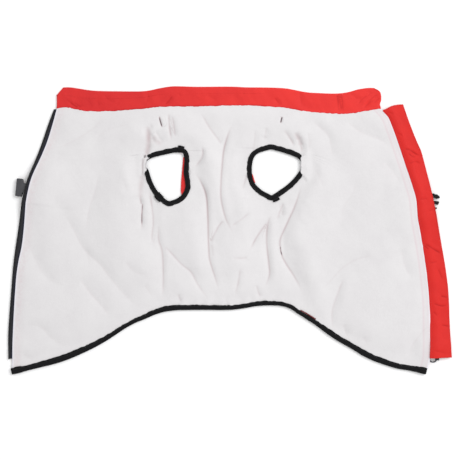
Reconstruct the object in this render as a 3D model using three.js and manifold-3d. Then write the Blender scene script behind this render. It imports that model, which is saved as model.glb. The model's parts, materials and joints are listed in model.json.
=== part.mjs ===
// Dog winter coat with a zip along the back, opened out and laid flat with its fleece lining up.
// Millimetres. X runs to the right, Y from the hem to the collar, Z up from the surface it lies on.
import * as THREE from "three";
import { mergeVertices } from "three/addons/utils/BufferGeometryUtils.js";
import Module from "manifold-3d";

const wasm = await Module();
wasm.setup();

// Cloth and trim
const GAP = 0.3;
const NYLON = 1.0;
const FLEECE = 1.8;
const WEBBING = 1.2;
const BINDING = 1.1;
const BINDING_LIP = 8.0;
const COLLAR_THICKNESS = 3.4;
const PLACKET_THICKNESS = 2.2;
const TAPE_TUCK = 3.0;
const COIL = { width: 2.8, height: 1.7, inset: 0.2 };
const BINDING_ROUND = 0.7;

// Heights at which the layers lie where nothing hard lifts them
const SHELL_LOW = BINDING + 0.4;
const SHELL_TOP = SHELL_LOW + NYLON;
const LINING_LOW = SHELL_TOP + GAP;
const LINING_TOP = LINING_LOW + FLEECE;
const LIP_LOW = LINING_TOP + GAP;
const LIP_TOP = LIP_LOW + BINDING;

// Panels end this far inside the binding's outer edge, and a little more where the hem slopes
const RIM_INSET = BINDING + GAP;
const HEM_INSET = RIM_INSET * 1.1;

// Grid of each panel
const ROWS = { aboveHole: 5, besideHole: 14, belowHole: 12 };
const COLUMNS = { flank: 16, chest: 10 };
const SHELL_STEP = 2;
// The shell's coarse hem line stays this far inside the lining's, and its outer neck corners this far
const SHELL_HEM_IN = 2.8;
const SHELL_CORNER_IN = 1.5;

// Heights on the back edges that stand level with the top and bottom of the leg holes
const HOLE_LEVEL = { top: 136, bottom: 46 };

// Collar: at each place along the neck, the seam below and the folded edge above
const COLLAR = [
  { x: -312, seam: 217.6, top: 243 },
  { x: -303, seam: 219.6, top: 256 },
  { x: -287, seam: 219.0, top: 257 },
  { x: -271, seam: 215.0, top: 254.5 },
  { x: -245, seam: 213.2, top: 251 },
  { x: -208, seam: 213.7, top: 250 },
  { x: -155, seam: 218.2, top: 250.2 },
  { x: -129, seam: 221.0, top: 255 },
  { x: -102, seam: 221.7, top: 259 },
  { x: -63, seam: 222.0, top: 258 },
  { x: 0, seam: 223.4, top: 258.3 },
  { x: 32, seam: 223.6, top: 257 },
  { x: 66, seam: 222.1, top: 256.8 },
  { x: 100, seam: 219.4, top: 255.2 },
  { x: 137, seam: 213.1, top: 248.4 },
  { x: 164, seam: 210.4, top: 246.6 },
  { x: 190, seam: 208.8, top: 245.9 },
  { x: 211, seam: 208.8, top: 248 },
  { x: 232, seam: 211.5, top: 253.6 },
  { x: 253, seam: 214.9, top: 256.2 },
  { x: 266, seam: 217.4, top: 254.5 },
  { x: 272, seam: 218.9, top: 246 },
];

// Hem: the outer edge of its binding
const HEM = [
  { x: -390.5, y: -260.5 },
  { x: -361, y: -252.4 },
  { x: -308, y: -239 },
  { x: -271, y: -224.6 },
  { x: -229, y: -203.4 },
  { x: -182, y: -173.2 },
  { x: -154, y: -160.8 },
  { x: -134, y: -152.2 },
  { x: -115, y: -146.6 },
  { x: -97, y: -144.8 },
  { x: -50, y: -144 },
  { x: 0, y: -144 },
  { x: 34, y: -139.8 },
  { x: 56, y: -136.3 },
  { x: 90, y: -136.4 },
  { x: 106, y: -140.6 },
  { x: 132, y: -157.3 },
  { x: 153, y: -170.5 },
  { x: 185, y: -194.2 },
  { x: 219, y: -214 },
  { x: 251, y: -232.6 },
  { x: 296, y: -248.4 },
  { x: 325, y: -253.8 },
  { x: 353.5, y: -260.2 },
];

// Back edges of the coat, where each half of the zip is sewn on
const BACK_LEFT = [
  { y: 217.6, x: -312 },
  { y: 192, x: -319 },
  { y: 158, x: -329.6 },
  { y: 126, x: -342.7 },
  { y: 95, x: -355.9 },
  { y: 71, x: -362.5 },
  { y: 42, x: -367.7 },
  { y: 18, x: -369.7 },
  { y: -25, x: -374.4 },
  { y: -65, x: -382.3 },
  { y: -104, x: -386.3 },
  { y: -184, x: -390.8 },
  { y: -260, x: -392.5 },
];
const BACK_RIGHT = [
  { y: 218.9, x: 272 },
  { y: 214, x: 278.6 },
  { y: 204, x: 285.1 },
  { y: 171, x: 298.4 },
  { y: 124, x: 314.3 },
  { y: 74, x: 330.1 },
  { y: 53, x: 335.3 },
  { y: 18, x: 338.8 },
  { y: -20, x: 346 },
  { y: -52, x: 351.2 },
  { y: -94, x: 356.4 },
  { y: -131, x: 359.6 },
  { y: -170, x: 360.4 },
  { y: -231, x: 359.6 },
  { y: -260, x: 352.5 },
];

// Height at which the back edges are read to find the hem's corners
const CORNER_Y = -255;

// How far the zip shows past the left back edge
const ZIP_LEFT_SHOW = [
  { y: 219, show: 5 },
  { y: 192, show: 7.8 },
  { y: 158, show: 8.8 },
  { y: 95, show: 6.8 },
  { y: 42, show: 8.2 },
  { y: -25, show: 11 },
  { y: -65, show: 8.4 },
  { y: -104, show: 7.4 },
  { y: -184, show: 8.6 },
  { y: -233, show: 7.4 },
];
const ZIP_END_Y = -232;
const PIN_TOP_Y = -213;
const ZIP_RIGHT_SHOW = 10.5;
const ZIP_RIGHT_TOP_Y = 212;
const ZIP_RIGHT_END_Y = -226.6;

// Placket's folded outer edge, from its slanted top to its foot
const PLACKET_EDGE = [
  { y: 226.5, x: 312 },
  { y: 208, x: 318.2 },
  { y: 190, x: 324.7 },
  { y: 163, x: 335.3 },
  { y: 142, x: 344.5 },
  { y: 95, x: 356.4 },
  { y: 50, x: 367 },
  { y: 1, x: 376.2 },
  { y: -67, x: 388.1 },
  { y: -110, x: 393.5 },
  { y: -176, x: 396.2 },
  { y: -229.5, x: 399.4 },
];
const PLACKET_TOP_Y = 214.4;
const PLACKET_TOP_ARCH = 3.4;
const PLACKET_FOOT_Y = -230.8;
// Across the placket: share of its width, and how high its underside lies
const PLACKET_SECTION = [
  { share: 0, low: LINING_LOW },
  { share: 0.14, low: LINING_LOW + 2.0 },
  { share: 0.36, low: LINING_LOW + 2.0 },
  { share: 0.55, low: LINING_LOW - 0.8 },
  { share: 0.8, low: 0.8 },
  { share: 1, low: 0.2 },
];

// Seams that join the chest to the flanks, above and below the leg holes
const SEAM_LEFT = {
  upper: [
    { x: -129, y: 221 },
    { x: -124, y: 194 },
    { x: -112, y: 162 },
    { x: -103, y: 138.8 },
  ],
  lower: [
    { x: -110, y: 52.4 },
    { x: -121, y: 9 },
    { x: -126, y: -18 },
    { x: -122, y: -40 },
    { x: -120, y: -76 },
    { x: -119, y: -145.9 },
  ],
};
const SEAM_RIGHT = {
  upper: [
    { x: 99, y: 219.6 },
    { x: 92, y: 198 },
    { x: 82, y: 166 },
    { x: 75, y: 144.8 },
  ],
  lower: [
    { x: 76, y: 62.6 },
    { x: 88, y: 9 },
    { x: 92, y: -27 },
    { x: 92, y: -81 },
    { x: 90, y: -135.7 },
  ],
};

// Leg holes: the rim of the opening, as the side toward the left and the side toward the right
const HOLE_LEFT = {
  left: [
    { x: -103, y: 138.8 },
    { x: -133, y: 132 },
    { x: -147, y: 126.5 },
    { x: -150.4, y: 116 },
    { x: -146, y: 101 },
    { x: -133, y: 74 },
    { x: -120, y: 58.5 },
    { x: -110, y: 52.4 },
  ],
  right: [
    { x: -103, y: 138.8 },
    { x: -91, y: 138 },
    { x: -83.5, y: 132 },
    { x: -81.8, y: 104 },
    { x: -78.8, y: 78 },
    { x: -86, y: 64 },
    { x: -97, y: 56 },
    { x: -110, y: 52.4 },
  ],
};
const HOLE_RIGHT = {
  left: [
    { x: 75, y: 144.8 },
    { x: 60, y: 141.6 },
    { x: 45.5, y: 134 },
    { x: 39.6, y: 115 },
    { x: 43.2, y: 87 },
    { x: 59, y: 70.6 },
    { x: 76, y: 62.6 },
  ],
  right: [
    { x: 75, y: 144.8 },
    { x: 100, y: 138 },
    { x: 124, y: 127.4 },
    { x: 128.5, y: 117 },
    { x: 122, y: 102 },
    { x: 106, y: 84 },
    { x: 90, y: 72 },
    { x: 76, y: 62.6 },
  ],
};

// Creases and folds of the lining: a path through three points, its half width and its height
const FOLDS = [
  { x1: -163, y1: 68, x2: -159, y2: 40, x3: -158, y3: -4, half: 18, height: -5 },
  { x1: -145, y1: 74, x2: -138, y2: 22, x3: -132, y3: -29, half: 15, height: -4.5 },
  { x1: -130, y1: 16, x2: -122, y2: -38, x3: -121, y3: -122, half: 16, height: -5 },
  { x1: -125, y1: -23, x2: -88, y2: -61, x3: -36, y3: -122, half: 18, height: -3.5 },
  { x1: -67, y1: 108, x2: -40, y2: 31, x3: -23, y3: -95, half: 19, height: -6 },
  { x1: -53, y1: 212, x2: -36, y2: 184, x3: -10, y3: 144, half: 17, height: -3.5 },
  { x1: 4, y1: 193, x2: -13, y2: 115, x3: 0, y3: 5, half: 17, height: -4 },
  { x1: -9, y1: 22, x2: -22, y2: 5, x3: -37, y3: -32, half: 15, height: -3.5 },
  { x1: 131, y1: 86, x2: 92, y2: -13, x3: 132, y3: -119, half: 19, height: -5 },
  { x1: 77, y1: 31, x2: 66, y2: -18, x3: 62, y3: -108, half: 16, height: -5 },
  { x1: 69, y1: 14, x2: 50, y2: -9, x3: 37, y3: -32, half: 14, height: -3.5 },
  { x1: 19, y1: -67, x2: 14, y2: -94, x3: 9, y3: -119, half: 15, height: -2.5 },
  { x1: -227, y1: 202, x2: -256, y2: 176, x3: -320, y3: 144, half: 20, height: -3.5 },
  { x1: -184, y1: 191, x2: -227, y2: 176, x3: -245, y3: 151, half: 18, height: -2 },
  { x1: -234, y1: 112, x2: -254, y2: 32, x3: -259, y3: -7, half: 20, height: -3 },
  { x1: -306, y1: 36, x2: -256, y2: -43, x3: -158, y3: -144, half: 22, height: -4 },
  { x1: -367, y1: -11, x2: -328, y2: -86, x3: -295, y3: -101, half: 22, height: -3 },
  { x1: -274, y1: -83, x2: -252, y2: -112, x3: -212, y3: -162, half: 19, height: -3 },
  { x1: -378, y1: -169, x2: -320, y2: -194, x3: -288, y3: -212, half: 20, height: -2.5 },
  { x1: 146, y1: 198, x2: 182, y2: 151, x3: 185, y3: 126, half: 20, height: -3.5 },
  { x1: 207, y1: 198, x2: 236, y2: 176, x3: 290, y3: 151, half: 20, height: -3 },
  { x1: 229, y1: 97, x2: 203, y2: 40, x3: 200, y3: 4, half: 22, height: -3 },
  { x1: 275, y1: 126, x2: 297, y2: 101, x3: 308, y3: 79, half: 19, height: -2.5 },
  { x1: 254, y1: -47, x2: 185, y2: -90, x3: 160, y3: -108, half: 21, height: -3 },
  { x1: 207, y1: -79, x2: 193, y2: -115, x3: 184, y3: -176, half: 19, height: -4.5 },
  { x1: 355, y1: -173, x2: 329, y2: -205, x3: 322, y3: -234, half: 20, height: -3 },
  { x1: 308, y1: -29, x2: 315, y2: -65, x3: 329, y3: -90, half: 20, height: -2.5 },
  { x1: -166, y1: 166, x2: -169, y2: 117, x3: -177, y3: 70, half: 20, height: 5.5 },
  { x1: -83, y1: 60, x2: -61, y2: 12, x3: -50, y3: -62, half: 20, height: 4 },
  { x1: -29, y1: 122, x2: -24, y2: 52, x3: -4, y3: -58, half: 20, height: 4.5 },
  { x1: 16, y1: 150, x2: 12, y2: 61, x3: 28, y3: -10, half: 20, height: 2.5 },
  { x1: 150, y1: 84, x2: 117, y2: -7, x3: 152, y3: -102, half: 21, height: 4 },
  { x1: -152, y1: 30, x2: -146, y2: -14, x3: -142, y3: -70, half: 17, height: 3.5 },
  { x1: -205, y1: 60, x2: -196, y2: 10, x3: -190, y3: -60, half: 26, height: 2.5 },
];
const PUFF = 4.5;
const PUFF_START = { bound: 20, seam: 3 };
const PUFF_RUN = { bound: 20, seam: 18 };

// Hard things under the cloth lift it: centre, half sizes of the level top, height and slope
const LIFTS = [
  { x: -358, y: 75, halfX: 31, halfY: 22, height: 7.3, slope: 46 },
  { x: 352, y: 54, halfX: 32, halfY: 28, height: 5.2, slope: 46 },
  { x: 369, y: -220, halfX: 10, halfY: 10, height: 3.6, slope: 46 },
];
// The zip's slider lifts the placket that lies over it once more
const PLACKET_LIFT = { x: 369, y: -222, halfX: 10, halfY: 12, height: 1.6, slope: 34 };

// Belt: where each buckle half starts, the way it points into the coat, and its strap
const SOCKET_PLACE = { x: -384.6, y: 77.1, turnDeg: -5.6 };
const PLUG_PLACE = { x: 374.9, y: 48.2, turnDeg: 164.5 };
const BUCKLE_LENGTH = 38;
const STRAP = { width: 20, length: 72, turnedBack: 14, landing: 4 };

// Slider, retainer box and ring pull at the foot of the right half of the zip
const SLIDER = { x: 369.4, y: -220.6, width: 9.4, length: 12, plate: 0.9, low: 3.5, gapTop: 8.4 };
const SLIDER_FOOT_SHARE = 0.62;
const SLIDER_POST = { edge: 1.9, width: 1.6, start: 4.6, end: 11.4 };
// The bail's window runs from its floor up into a notch under the slider's lower plate
const BAIL = { x: 368, y: -225.9, width: 1.5, inside: 3.4, wall: 1.0, low: 0.1, floor: 0.7 };
const BAIL_NOTCH = { top: 3.8, past: 3.2 };
const RING = { x: 366, radius: 6.4, wire: 1.0, pivotZ: 2.3, rest: 0.02, sides: 8, steps: 30 };
const BOX = { left: 369.4, right: 375.8, foot: -234.4, head: -227.0, low: 3.7, top: 8.6 };
const PIN = { radius: 1.1, sides: 8 };

// Joined shapes run this far into each other, and cuts this far past what they cut
const WELD = 0.3;
const CUT_PAST = 1;

// Small helpers

const smooth = (t) => {
  const c = Math.min(Math.max(t, 0), 1);
  return c * c * (3 - 2 * c);
};

const mix = (a, b, t) => a + (b - a) * t;

/** A smooth curve through the x and y of a table's rows. */
function curveOf(rows) {
  const points = rows.map((row) => new THREE.Vector3(row.x, row.y, 0));
  return new THREE.CatmullRomCurve3(points, false, "centripetal");
}

/** Points along the curve through a table, evenly spaced. */
function spaced(rows, count) {
  return curveOf(rows).getSpacedPoints(count);
}

/** Value of `column` at `at` in a table sorted by `key`, by a smooth curve through its rows. */
function lookUp(rows, key, column, at) {
  const points = rows.map((row) => new THREE.Vector2(row[key], row[column]));
  const fine = new THREE.SplineCurve(points).getPoints(rows.length * 12);
  const up = fine[0].x < fine[fine.length - 1].x;
  const sorted = up ? fine : fine.reverse();
  for (let i = 1; i < sorted.length; i += 1) {
    if (at <= sorted[i].x) {
      const t = (at - sorted[i - 1].x) / (sorted[i].x - sorted[i - 1].x);
      return mix(sorted[i - 1].y, sorted[i].y, Math.max(t, 0));
    }
  }
  return sorted[sorted.length - 1].y;
}

/** Unit normals of a line of points, to the left of its direction. */
function normals(points, closed) {
  const n = points.length;
  return points.map((p, i) => {
    const before = closed ? points[(i + n - 1) % n] : points[Math.max(i - 1, 0)];
    const after = closed ? points[(i + 1) % n] : points[Math.min(i + 1, n - 1)];
    const d = new THREE.Vector2(after.x - before.x, after.y - before.y).normalize();
    return new THREE.Vector2(-d.y, d.x);
  });
}

/** How much the hard things lift the cloth at a place. */
function liftOf(thing, x, y) {
  const dx = Math.max(Math.abs(x - thing.x) - thing.halfX, 0);
  const dy = Math.max(Math.abs(y - thing.y) - thing.halfY, 0);
  return thing.height * (1 - smooth(Math.hypot(dx, dy) / thing.slope));
}

const liftAt = (x, y) => LIFTS.reduce((most, thing) => Math.max(most, liftOf(thing, x, y)), 0);

/** Distance from a place to a line of points. */
function distanceTo(line, x, y) {
  let nearest = Infinity;
  for (let i = 1; i < line.length; i += 1) {
    const a = line[i - 1];
    const b = line[i];
    const length2 = (b.x - a.x) ** 2 + (b.y - a.y) ** 2 || 1;
    const along = ((x - a.x) * (b.x - a.x) + (y - a.y) * (b.y - a.y)) / length2;
    const t = Math.min(Math.max(along, 0), 1);
    nearest = Math.min(nearest, Math.hypot(x - mix(a.x, b.x, t), y - mix(a.y, b.y, t)));
  }
  return nearest;
}

/** A mesh's geometry with its faces pointing out. */
function closedGeometry(positions, indices) {
  let volume = 0;
  for (let i = 0; i < indices.length; i += 3) {
    const [a, b, c] = [0, 1, 2].map((k) => positions[indices[i + k]]);
    volume += a.dot(new THREE.Vector3().crossVectors(b, c));
  }
  const facing = volume > 0 ? indices : indices.map((_, i) => indices[i - (i % 3) + 2 - (i % 3)]);
  const geometry = new THREE.BufferGeometry().setFromPoints(positions);
  geometry.setIndex(facing);
  geometry.computeVertexNormals();
  return geometry;
}

/** A wall of cloth from a grid of cells {x, y, low, top}. */
function wall(grid) {
  const rows = grid.length;
  const columns = grid[0].length;
  const positions = [];
  const indices = [];
  for (const side of ["low", "top"]) {
    for (const row of grid) {
      for (const cell of row) {
        positions.push(new THREE.Vector3(cell.x, cell.y, cell[side]));
      }
    }
  }
  const at = (side, i, j) => side * rows * columns + i * columns + j;
  for (let i = 0; i < rows - 1; i += 1) {
    for (let j = 0; j < columns - 1; j += 1) {
      const low = [at(0, i, j), at(0, i, j + 1), at(0, i + 1, j + 1), at(0, i + 1, j)];
      const top = [at(1, i, j), at(1, i, j + 1), at(1, i + 1, j + 1), at(1, i + 1, j)];
      indices.push(low[0], low[1], low[2], low[0], low[2], low[3]);
      indices.push(top[0], top[2], top[1], top[0], top[3], top[2]);
    }
  }
  const rim = [];
  for (let j = 0; j < columns - 1; j += 1) rim.push([0, j]);
  for (let i = 0; i < rows - 1; i += 1) rim.push([i, columns - 1]);
  for (let j = columns - 1; j > 0; j -= 1) rim.push([rows - 1, j]);
  for (let i = rows - 1; i > 0; i -= 1) rim.push([i, 0]);
  rim.forEach(([i, j], k) => {
    const [m, n] = rim[(k + 1) % rim.length];
    indices.push(at(0, i, j), at(1, m, n), at(0, m, n), at(0, i, j), at(1, i, j), at(1, m, n));
  });
  return closedGeometry(positions, indices);
}

/** An upright ring of points, laid out in its own plane. */
function flattened(ring) {
  const start = new THREE.Vector2(ring[0].x, ring[0].y);
  const aways = ring.map((p) => new THREE.Vector2(p.x, p.y).sub(start));
  const along = aways.reduce((far, d) => (d.length() > far.length() ? d : far)).clone().normalize();
  return ring.map((p, i) => new THREE.Vector2(aways[i].dot(along), p.z));
}

/** A solid lofted through rings of points, closed on itself or with flat ends. */
function loft(rings, closed) {
  const size = rings[0].length;
  const positions = rings.flat();
  const indices = [];
  const spans = closed ? rings.length : rings.length - 1;
  for (let i = 0; i < spans; i += 1) {
    const next = (i + 1) % rings.length;
    for (let k = 0; k < size; k += 1) {
      const m = (k + 1) % size;
      const [a, b] = [i * size + k, i * size + m];
      const [c, d] = [next * size + m, next * size + k];
      indices.push(a, b, c, a, c, d);
    }
  }
  if (!closed) {
    const flat = flattened(rings[0]);
    const ringArea = Math.sign(THREE.ShapeUtils.area(flat));
    const last = (rings.length - 1) * size;
    for (const face of THREE.ShapeUtils.triangulateShape(flat, [])) {
      const faceArea = Math.sign(THREE.ShapeUtils.area(face.map((k) => flat[k])));
      const [a, b, c] = faceArea === ringArea ? face : [...face].reverse();
      indices.push(c, b, a);
      indices.push(last + a, last + b, last + c);
    }
  }
  return closedGeometry(positions, indices);
}

/** An outline of [x, y] points made into a plate between two heights. */
function plate(outline, low, top) {
  const shape = new THREE.Shape(outline.map(([x, y]) => new THREE.Vector2(x, y)));
  const geometry = new THREE.ExtrudeGeometry(shape, { depth: top - low, bevelEnabled: false });
  return geometry.translate(0, 0, low);
}

/** A box between two corners. */
function block([x0, y0, z0], [x1, y1, z1]) {
  const geometry = new THREE.BoxGeometry(x1 - x0, y1 - y0, z1 - z0);
  return geometry.translate((x0 + x1) / 2, (y0 + y1) / 2, (z0 + z1) / 2);
}

function solidOf(geometry) {
  const bare = geometry.clone();
  bare.deleteAttribute("normal");
  bare.deleteAttribute("uv");
  const merged = mergeVertices(bare, 1e-4);
  const vertProperties = new Float32Array(merged.attributes.position.array);
  const triVerts = new Uint32Array(merged.index.array);
  return new wasm.Manifold(new wasm.Mesh({ numProp: 3, vertProperties, triVerts }));
}

function geometryOf(solid) {
  const mesh = solid.getMesh();
  const geometry = new THREE.BufferGeometry();
  const positions = new THREE.BufferAttribute(mesh.vertProperties, 3);
  geometry.setAttribute("position", positions);
  geometry.setIndex(new THREE.BufferAttribute(mesh.triVerts, 1));
  geometry.computeVertexNormals();
  return geometry;
}

/** Joins `kept` shapes into one and cuts the `removed` shapes from it. */
function carve(kept, removed) {
  const whole = kept.map(solidOf).reduce((a, b) => a.add(b));
  return geometryOf(removed.map(solidOf).reduce((a, b) => a.subtract(b), whole));
}

// Materials

const material = (color, roughness, metalness = 0) =>
  new THREE.MeshStandardMaterial({ color, roughness, metalness, side: THREE.DoubleSide });

const MATERIALS = {
  fleece: material(0xe9e8ea, 0.98),
  nylon: material(0xd8383a, 0.48),
  binding: material(0x1d1d1f, 0.82),
  zip: material(0x27272b, 0.7),
  webbing: material(0x202022, 0.85),
  socket: material(0x4b4b4e, 0.45),
  plug: material(0x1f1f21, 0.45),
  metal: material(0x3c4449, 0.32, 0.9),
};

const root = new THREE.Group();

function addMesh(name, geometry, finish, parent = root) {
  const mesh = new THREE.Mesh(geometry, MATERIALS[finish]);
  mesh.name = name;
  parent.add(mesh);
  return mesh;
}

// Lines that bound the panels

const hemY = (x) => lookUp(HEM, "x", "y", x);
const neckY = (x) => lookUp(COLLAR, "x", "seam", x);
const hemLine = spaced(HEM, 120);
const neckLine = COLLAR.map((row) => ({ x: row.x, y: row.seam }));
const holeLines = [HOLE_LEFT, HOLE_RIGHT].map((hole) => [
  ...spaced(hole.left, 30),
  ...spaced(hole.right, 30).reverse(),
]);
const backLines = [BACK_LEFT, BACK_RIGHT].map((rows) => spaced(rows, 60));

/** A back edge, a point for each row of the grid. */
function backEdge(rows) {
  const top = rows[0].y;
  const foot = hemY(lookUp(rows, "y", "x", CORNER_Y));
  const heights = [];
  for (let i = 0; i < ROWS.aboveHole; i += 1) {
    heights.push(mix(top, HOLE_LEVEL.top, i / ROWS.aboveHole));
  }
  for (let i = 0; i < ROWS.besideHole; i += 1) {
    heights.push(mix(HOLE_LEVEL.top, HOLE_LEVEL.bottom, i / ROWS.besideHole));
  }
  for (let i = 0; i <= ROWS.belowHole; i += 1) {
    heights.push(mix(HOLE_LEVEL.bottom, foot, i / ROWS.belowHole));
  }
  return heights.map((y) => new THREE.Vector2(lookUp(rows, "y", "x", y), y));
}

/** A seam with one side of a leg hole in its middle, moved sideways by half the seam's gap. */
function seamEdge(seam, holeSide, side) {
  const step = (side * GAP) / 2;
  const upper = spaced(seam.upper, ROWS.aboveHole).slice(0, -1);
  const beside = spaced(holeSide, ROWS.besideHole);
  const lower = spaced(seam.lower, ROWS.belowHole).slice(1);
  const out = normals(beside, false);
  const moved = beside.map((p, i) => {
    const away = side * RIM_INSET;
    return new THREE.Vector2(p.x + out[i].x * away, p.y + out[i].y * away);
  });
  moved[0] = new THREE.Vector2(beside[0].x + step, beside[0].y + RIM_INSET);
  moved[moved.length - 1] = new THREE.Vector2(
    beside[beside.length - 1].x + step,
    beside[beside.length - 1].y - RIM_INSET,
  );
  const shift = (p) => new THREE.Vector2(p.x + step, p.y);
  return [...upper.map(shift), ...moved, ...lower.map(shift)];
}

/** Height of the lining's puff and folds above where it lies flat. */
function foldAt(x, y) {
  const hem = distanceTo(hemLine, x, y);
  const hole = Math.min(...holeLines.map((line) => distanceTo(line, x, y)));
  const seam = Math.min(
    distanceTo(neckLine, x, y),
    ...backLines.map((line) => distanceTo(line, x, y)),
  );
  const bound = Math.min(hem, hole);
  const mask =
    smooth((bound - PUFF_START.bound) / PUFF_RUN.bound) *
    smooth((seam - PUFF_START.seam) / PUFF_RUN.seam);
  let height = PUFF;
  for (const fold of FOLDS) {
    const path = [
      { x: fold.x1, y: fold.y1 },
      { x: fold.x2, y: fold.y2 },
      { x: fold.x3, y: fold.y3 },
    ];
    const away = distanceTo(path, x, y) / fold.half;
    height += fold.height * Math.exp(-away * away);
  }
  return mask * Math.max(height, 0);
}

/** A panel's grid of places: a patch that fits its two sides, the neck and the hem. */
function panelGrid(left, right, columns) {
  const last = left.length - 1;
  const neck = (t) => {
    const x = mix(left[0].x, right[0].x, t);
    return new THREE.Vector2(x, neckY(x));
  };
  const hem = (t) => {
    const x = mix(left[last].x, right[last].x, t);
    return new THREE.Vector2(x, hemY(x) + HEM_INSET);
  };
  left[0] = neck(0);
  right[0] = neck(1);
  left[last] = hem(0);
  right[last] = hem(1);
  const grid = left.map((_, i) => {
    const v = i / last;
    const row = [];
    for (let j = 0; j <= columns; j += 1) {
      const u = j / columns;
      const sides = left[i].clone().lerp(right[i], u);
      const ends = neck(u).lerp(hem(u), v);
      const corners = neck(0).lerp(neck(1), u).lerp(hem(0).lerp(hem(1), u), v);
      const p = sides.add(ends).sub(corners);
      row.push({ x: p.x, y: p.y, lift: liftAt(p.x, p.y), fold: foldAt(p.x, p.y) });
    }
    return row;
  });
  // The coarser shell has only every second column, so the lining's lift follows its facets
  for (const row of grid) {
    for (let j = 1; j < columns; j += SHELL_STEP) {
      row[j].lift = (row[j - 1].lift + row[j + 1].lift) / 2;
    }
  }
  return grid;
}

const liningGeometry = (grid) =>
  wall(
    grid.map((row) =>
      row.map((p) => {
        const rise = p.lift + p.fold;
        return { x: p.x, y: p.y, low: LINING_LOW + rise, top: LINING_TOP + rise };
      }),
    ),
  );

/** The shell under a panel's lining, set back from the zip tape on its back edge. */
function shellGeometry(grid, backSide) {
  const back = TAPE_TUCK + GAP;
  const lastRow = grid.length - 1;
  return wall(
    grid.map((row, i) =>
      row
        .filter((_, j) => j % SHELL_STEP === 0)
        .map((p, j, cells) => {
          const first = j === 0;
          const end = j === cells.length - 1;
          const leftIn = first ? (backSide < 0 ? back : GAP) : 0;
          const rightIn = end ? (backSide > 0 ? back : GAP) : 0;
          const atBack = (first && backSide < 0) || (end && backSide > 0);
          const neckIn = i === 0 ? GAP + (atBack ? SHELL_CORNER_IN : 0) : 0;
          const hemIn = i === lastRow ? SHELL_HEM_IN : 0;
          return {
            x: p.x + leftIn - rightIn,
            y: p.y - neckIn + hemIn,
            low: SHELL_LOW + p.lift,
            top: SHELL_TOP + p.lift,
          };
        }),
    ),
  );
}

// Panels

const grids = {
  left: panelGrid(backEdge(BACK_LEFT), seamEdge(SEAM_LEFT, HOLE_LEFT.left, -1), COLUMNS.flank),
  chest: panelGrid(
    seamEdge(SEAM_LEFT, HOLE_LEFT.right, 1),
    seamEdge(SEAM_RIGHT, HOLE_RIGHT.left, -1),
    COLUMNS.chest,
  ),
  right: panelGrid(seamEdge(SEAM_RIGHT, HOLE_RIGHT.right, 1), backEdge(BACK_RIGHT), COLUMNS.flank),
};
const BACK_SIDE = { left: -1, chest: 0, right: 1 };

for (const [side, grid] of Object.entries(grids)) {
  addMesh("lining_" + side, liningGeometry(grid), "fleece");
  addMesh("shell_" + side, shellGeometry(grid, BACK_SIDE[side]), "nylon");
}

// Bindings: a folded tape with a lip on each face of the cloth

const BINDING_SECTION = [
  { in: 0, level: BINDING_ROUND },
  { in: BINDING_ROUND, level: 0 },
  { in: BINDING_LIP, level: 0 },
  { in: BINDING_LIP, level: BINDING },
  { in: BINDING, level: BINDING },
  { in: BINDING, level: LIP_LOW },
  { in: BINDING_LIP, level: LIP_LOW },
  { in: BINDING_LIP, level: LIP_TOP },
  { in: BINDING_ROUND, level: LIP_TOP },
  { in: 0, level: LIP_TOP - BINDING_ROUND },
];

/** Ring of the binding's section at a place on the rim, with the lift at the rim and inside. */
function bindingRing(rim, inward, liftRim, liftLip) {
  return BINDING_SECTION.map((point) => {
    const lift = mix(liftRim, liftLip, point.in / BINDING_LIP);
    return new THREE.Vector3(
      rim.x + inward.x * point.in,
      rim.y + inward.y * point.in,
      point.level + lift,
    );
  });
}

const hemCells = Object.values(grids).flatMap((grid, k) => {
  const row = grid[grid.length - 1];
  const above = grid[grid.length - 2];
  return row.slice(k ? 1 : 0).map((p, j) => ({ ...p, above: above[j + (k ? 1 : 0)] }));
});
const hemUp = normals(hemCells, false);
addMesh(
  "hem_binding",
  loft(
    hemCells.map((p, i) => {
      const reach = Math.hypot(p.above.x - p.x, p.above.y - p.y);
      const rim = { x: p.x - hemUp[i].x * RIM_INSET, y: p.y - hemUp[i].y * RIM_INSET };
      return bindingRing(rim, hemUp[i], p.lift, mix(p.lift, p.above.lift, BINDING_LIP / reach));
    }),
    false,
  ),
  "binding",
);

/** A leg hole's binding, on the rims of the panels that meet round it. */
function legBinding(hole) {
  const left = spaced(hole.left, ROWS.besideHole);
  const right = spaced(hole.right, ROWS.besideHole);
  const rim = [...left.slice(0, -1), ...right.slice(1).reverse()];
  const inside = normals(rim, true);
  return loft(
    rim.map((p, i) => bindingRing(p, inside[i].clone().negate(), 0, 0)),
    true,
  );
}
addMesh("leg_binding_left", legBinding(HOLE_LEFT), "binding");
addMesh("leg_binding_right", legBinding(HOLE_RIGHT), "binding");

// Collar: a doubled band, sewn to the neck and folded along its upper edge

const COLLAR_SECTION = [
  { share: 0, level: 0 },
  { share: 0.93, level: 0 },
  { share: 1, level: 0.28 },
  { share: 1, level: 0.72 },
  { share: 0.93, level: 1 },
  { share: 0.55, level: 1.12 },
  { share: 0.3, level: 1.06 },
  { share: 0, level: 1.2 },
];
const neckCells = Object.values(grids).flatMap((grid, k) => grid[0].slice(k ? 1 : 0));
addMesh(
  "collar",
  loft(
    neckCells.map((p) => {
      const low = p.y + GAP;
      const top = lookUp(COLLAR, "x", "top", p.x);
      return COLLAR_SECTION.map(
        (s) => new THREE.Vector3(p.x, mix(low, top, s.share), s.level * COLLAR_THICKNESS),
      );
    }),
    false,
  ),
  "nylon",
);

// Zip halves

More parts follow.
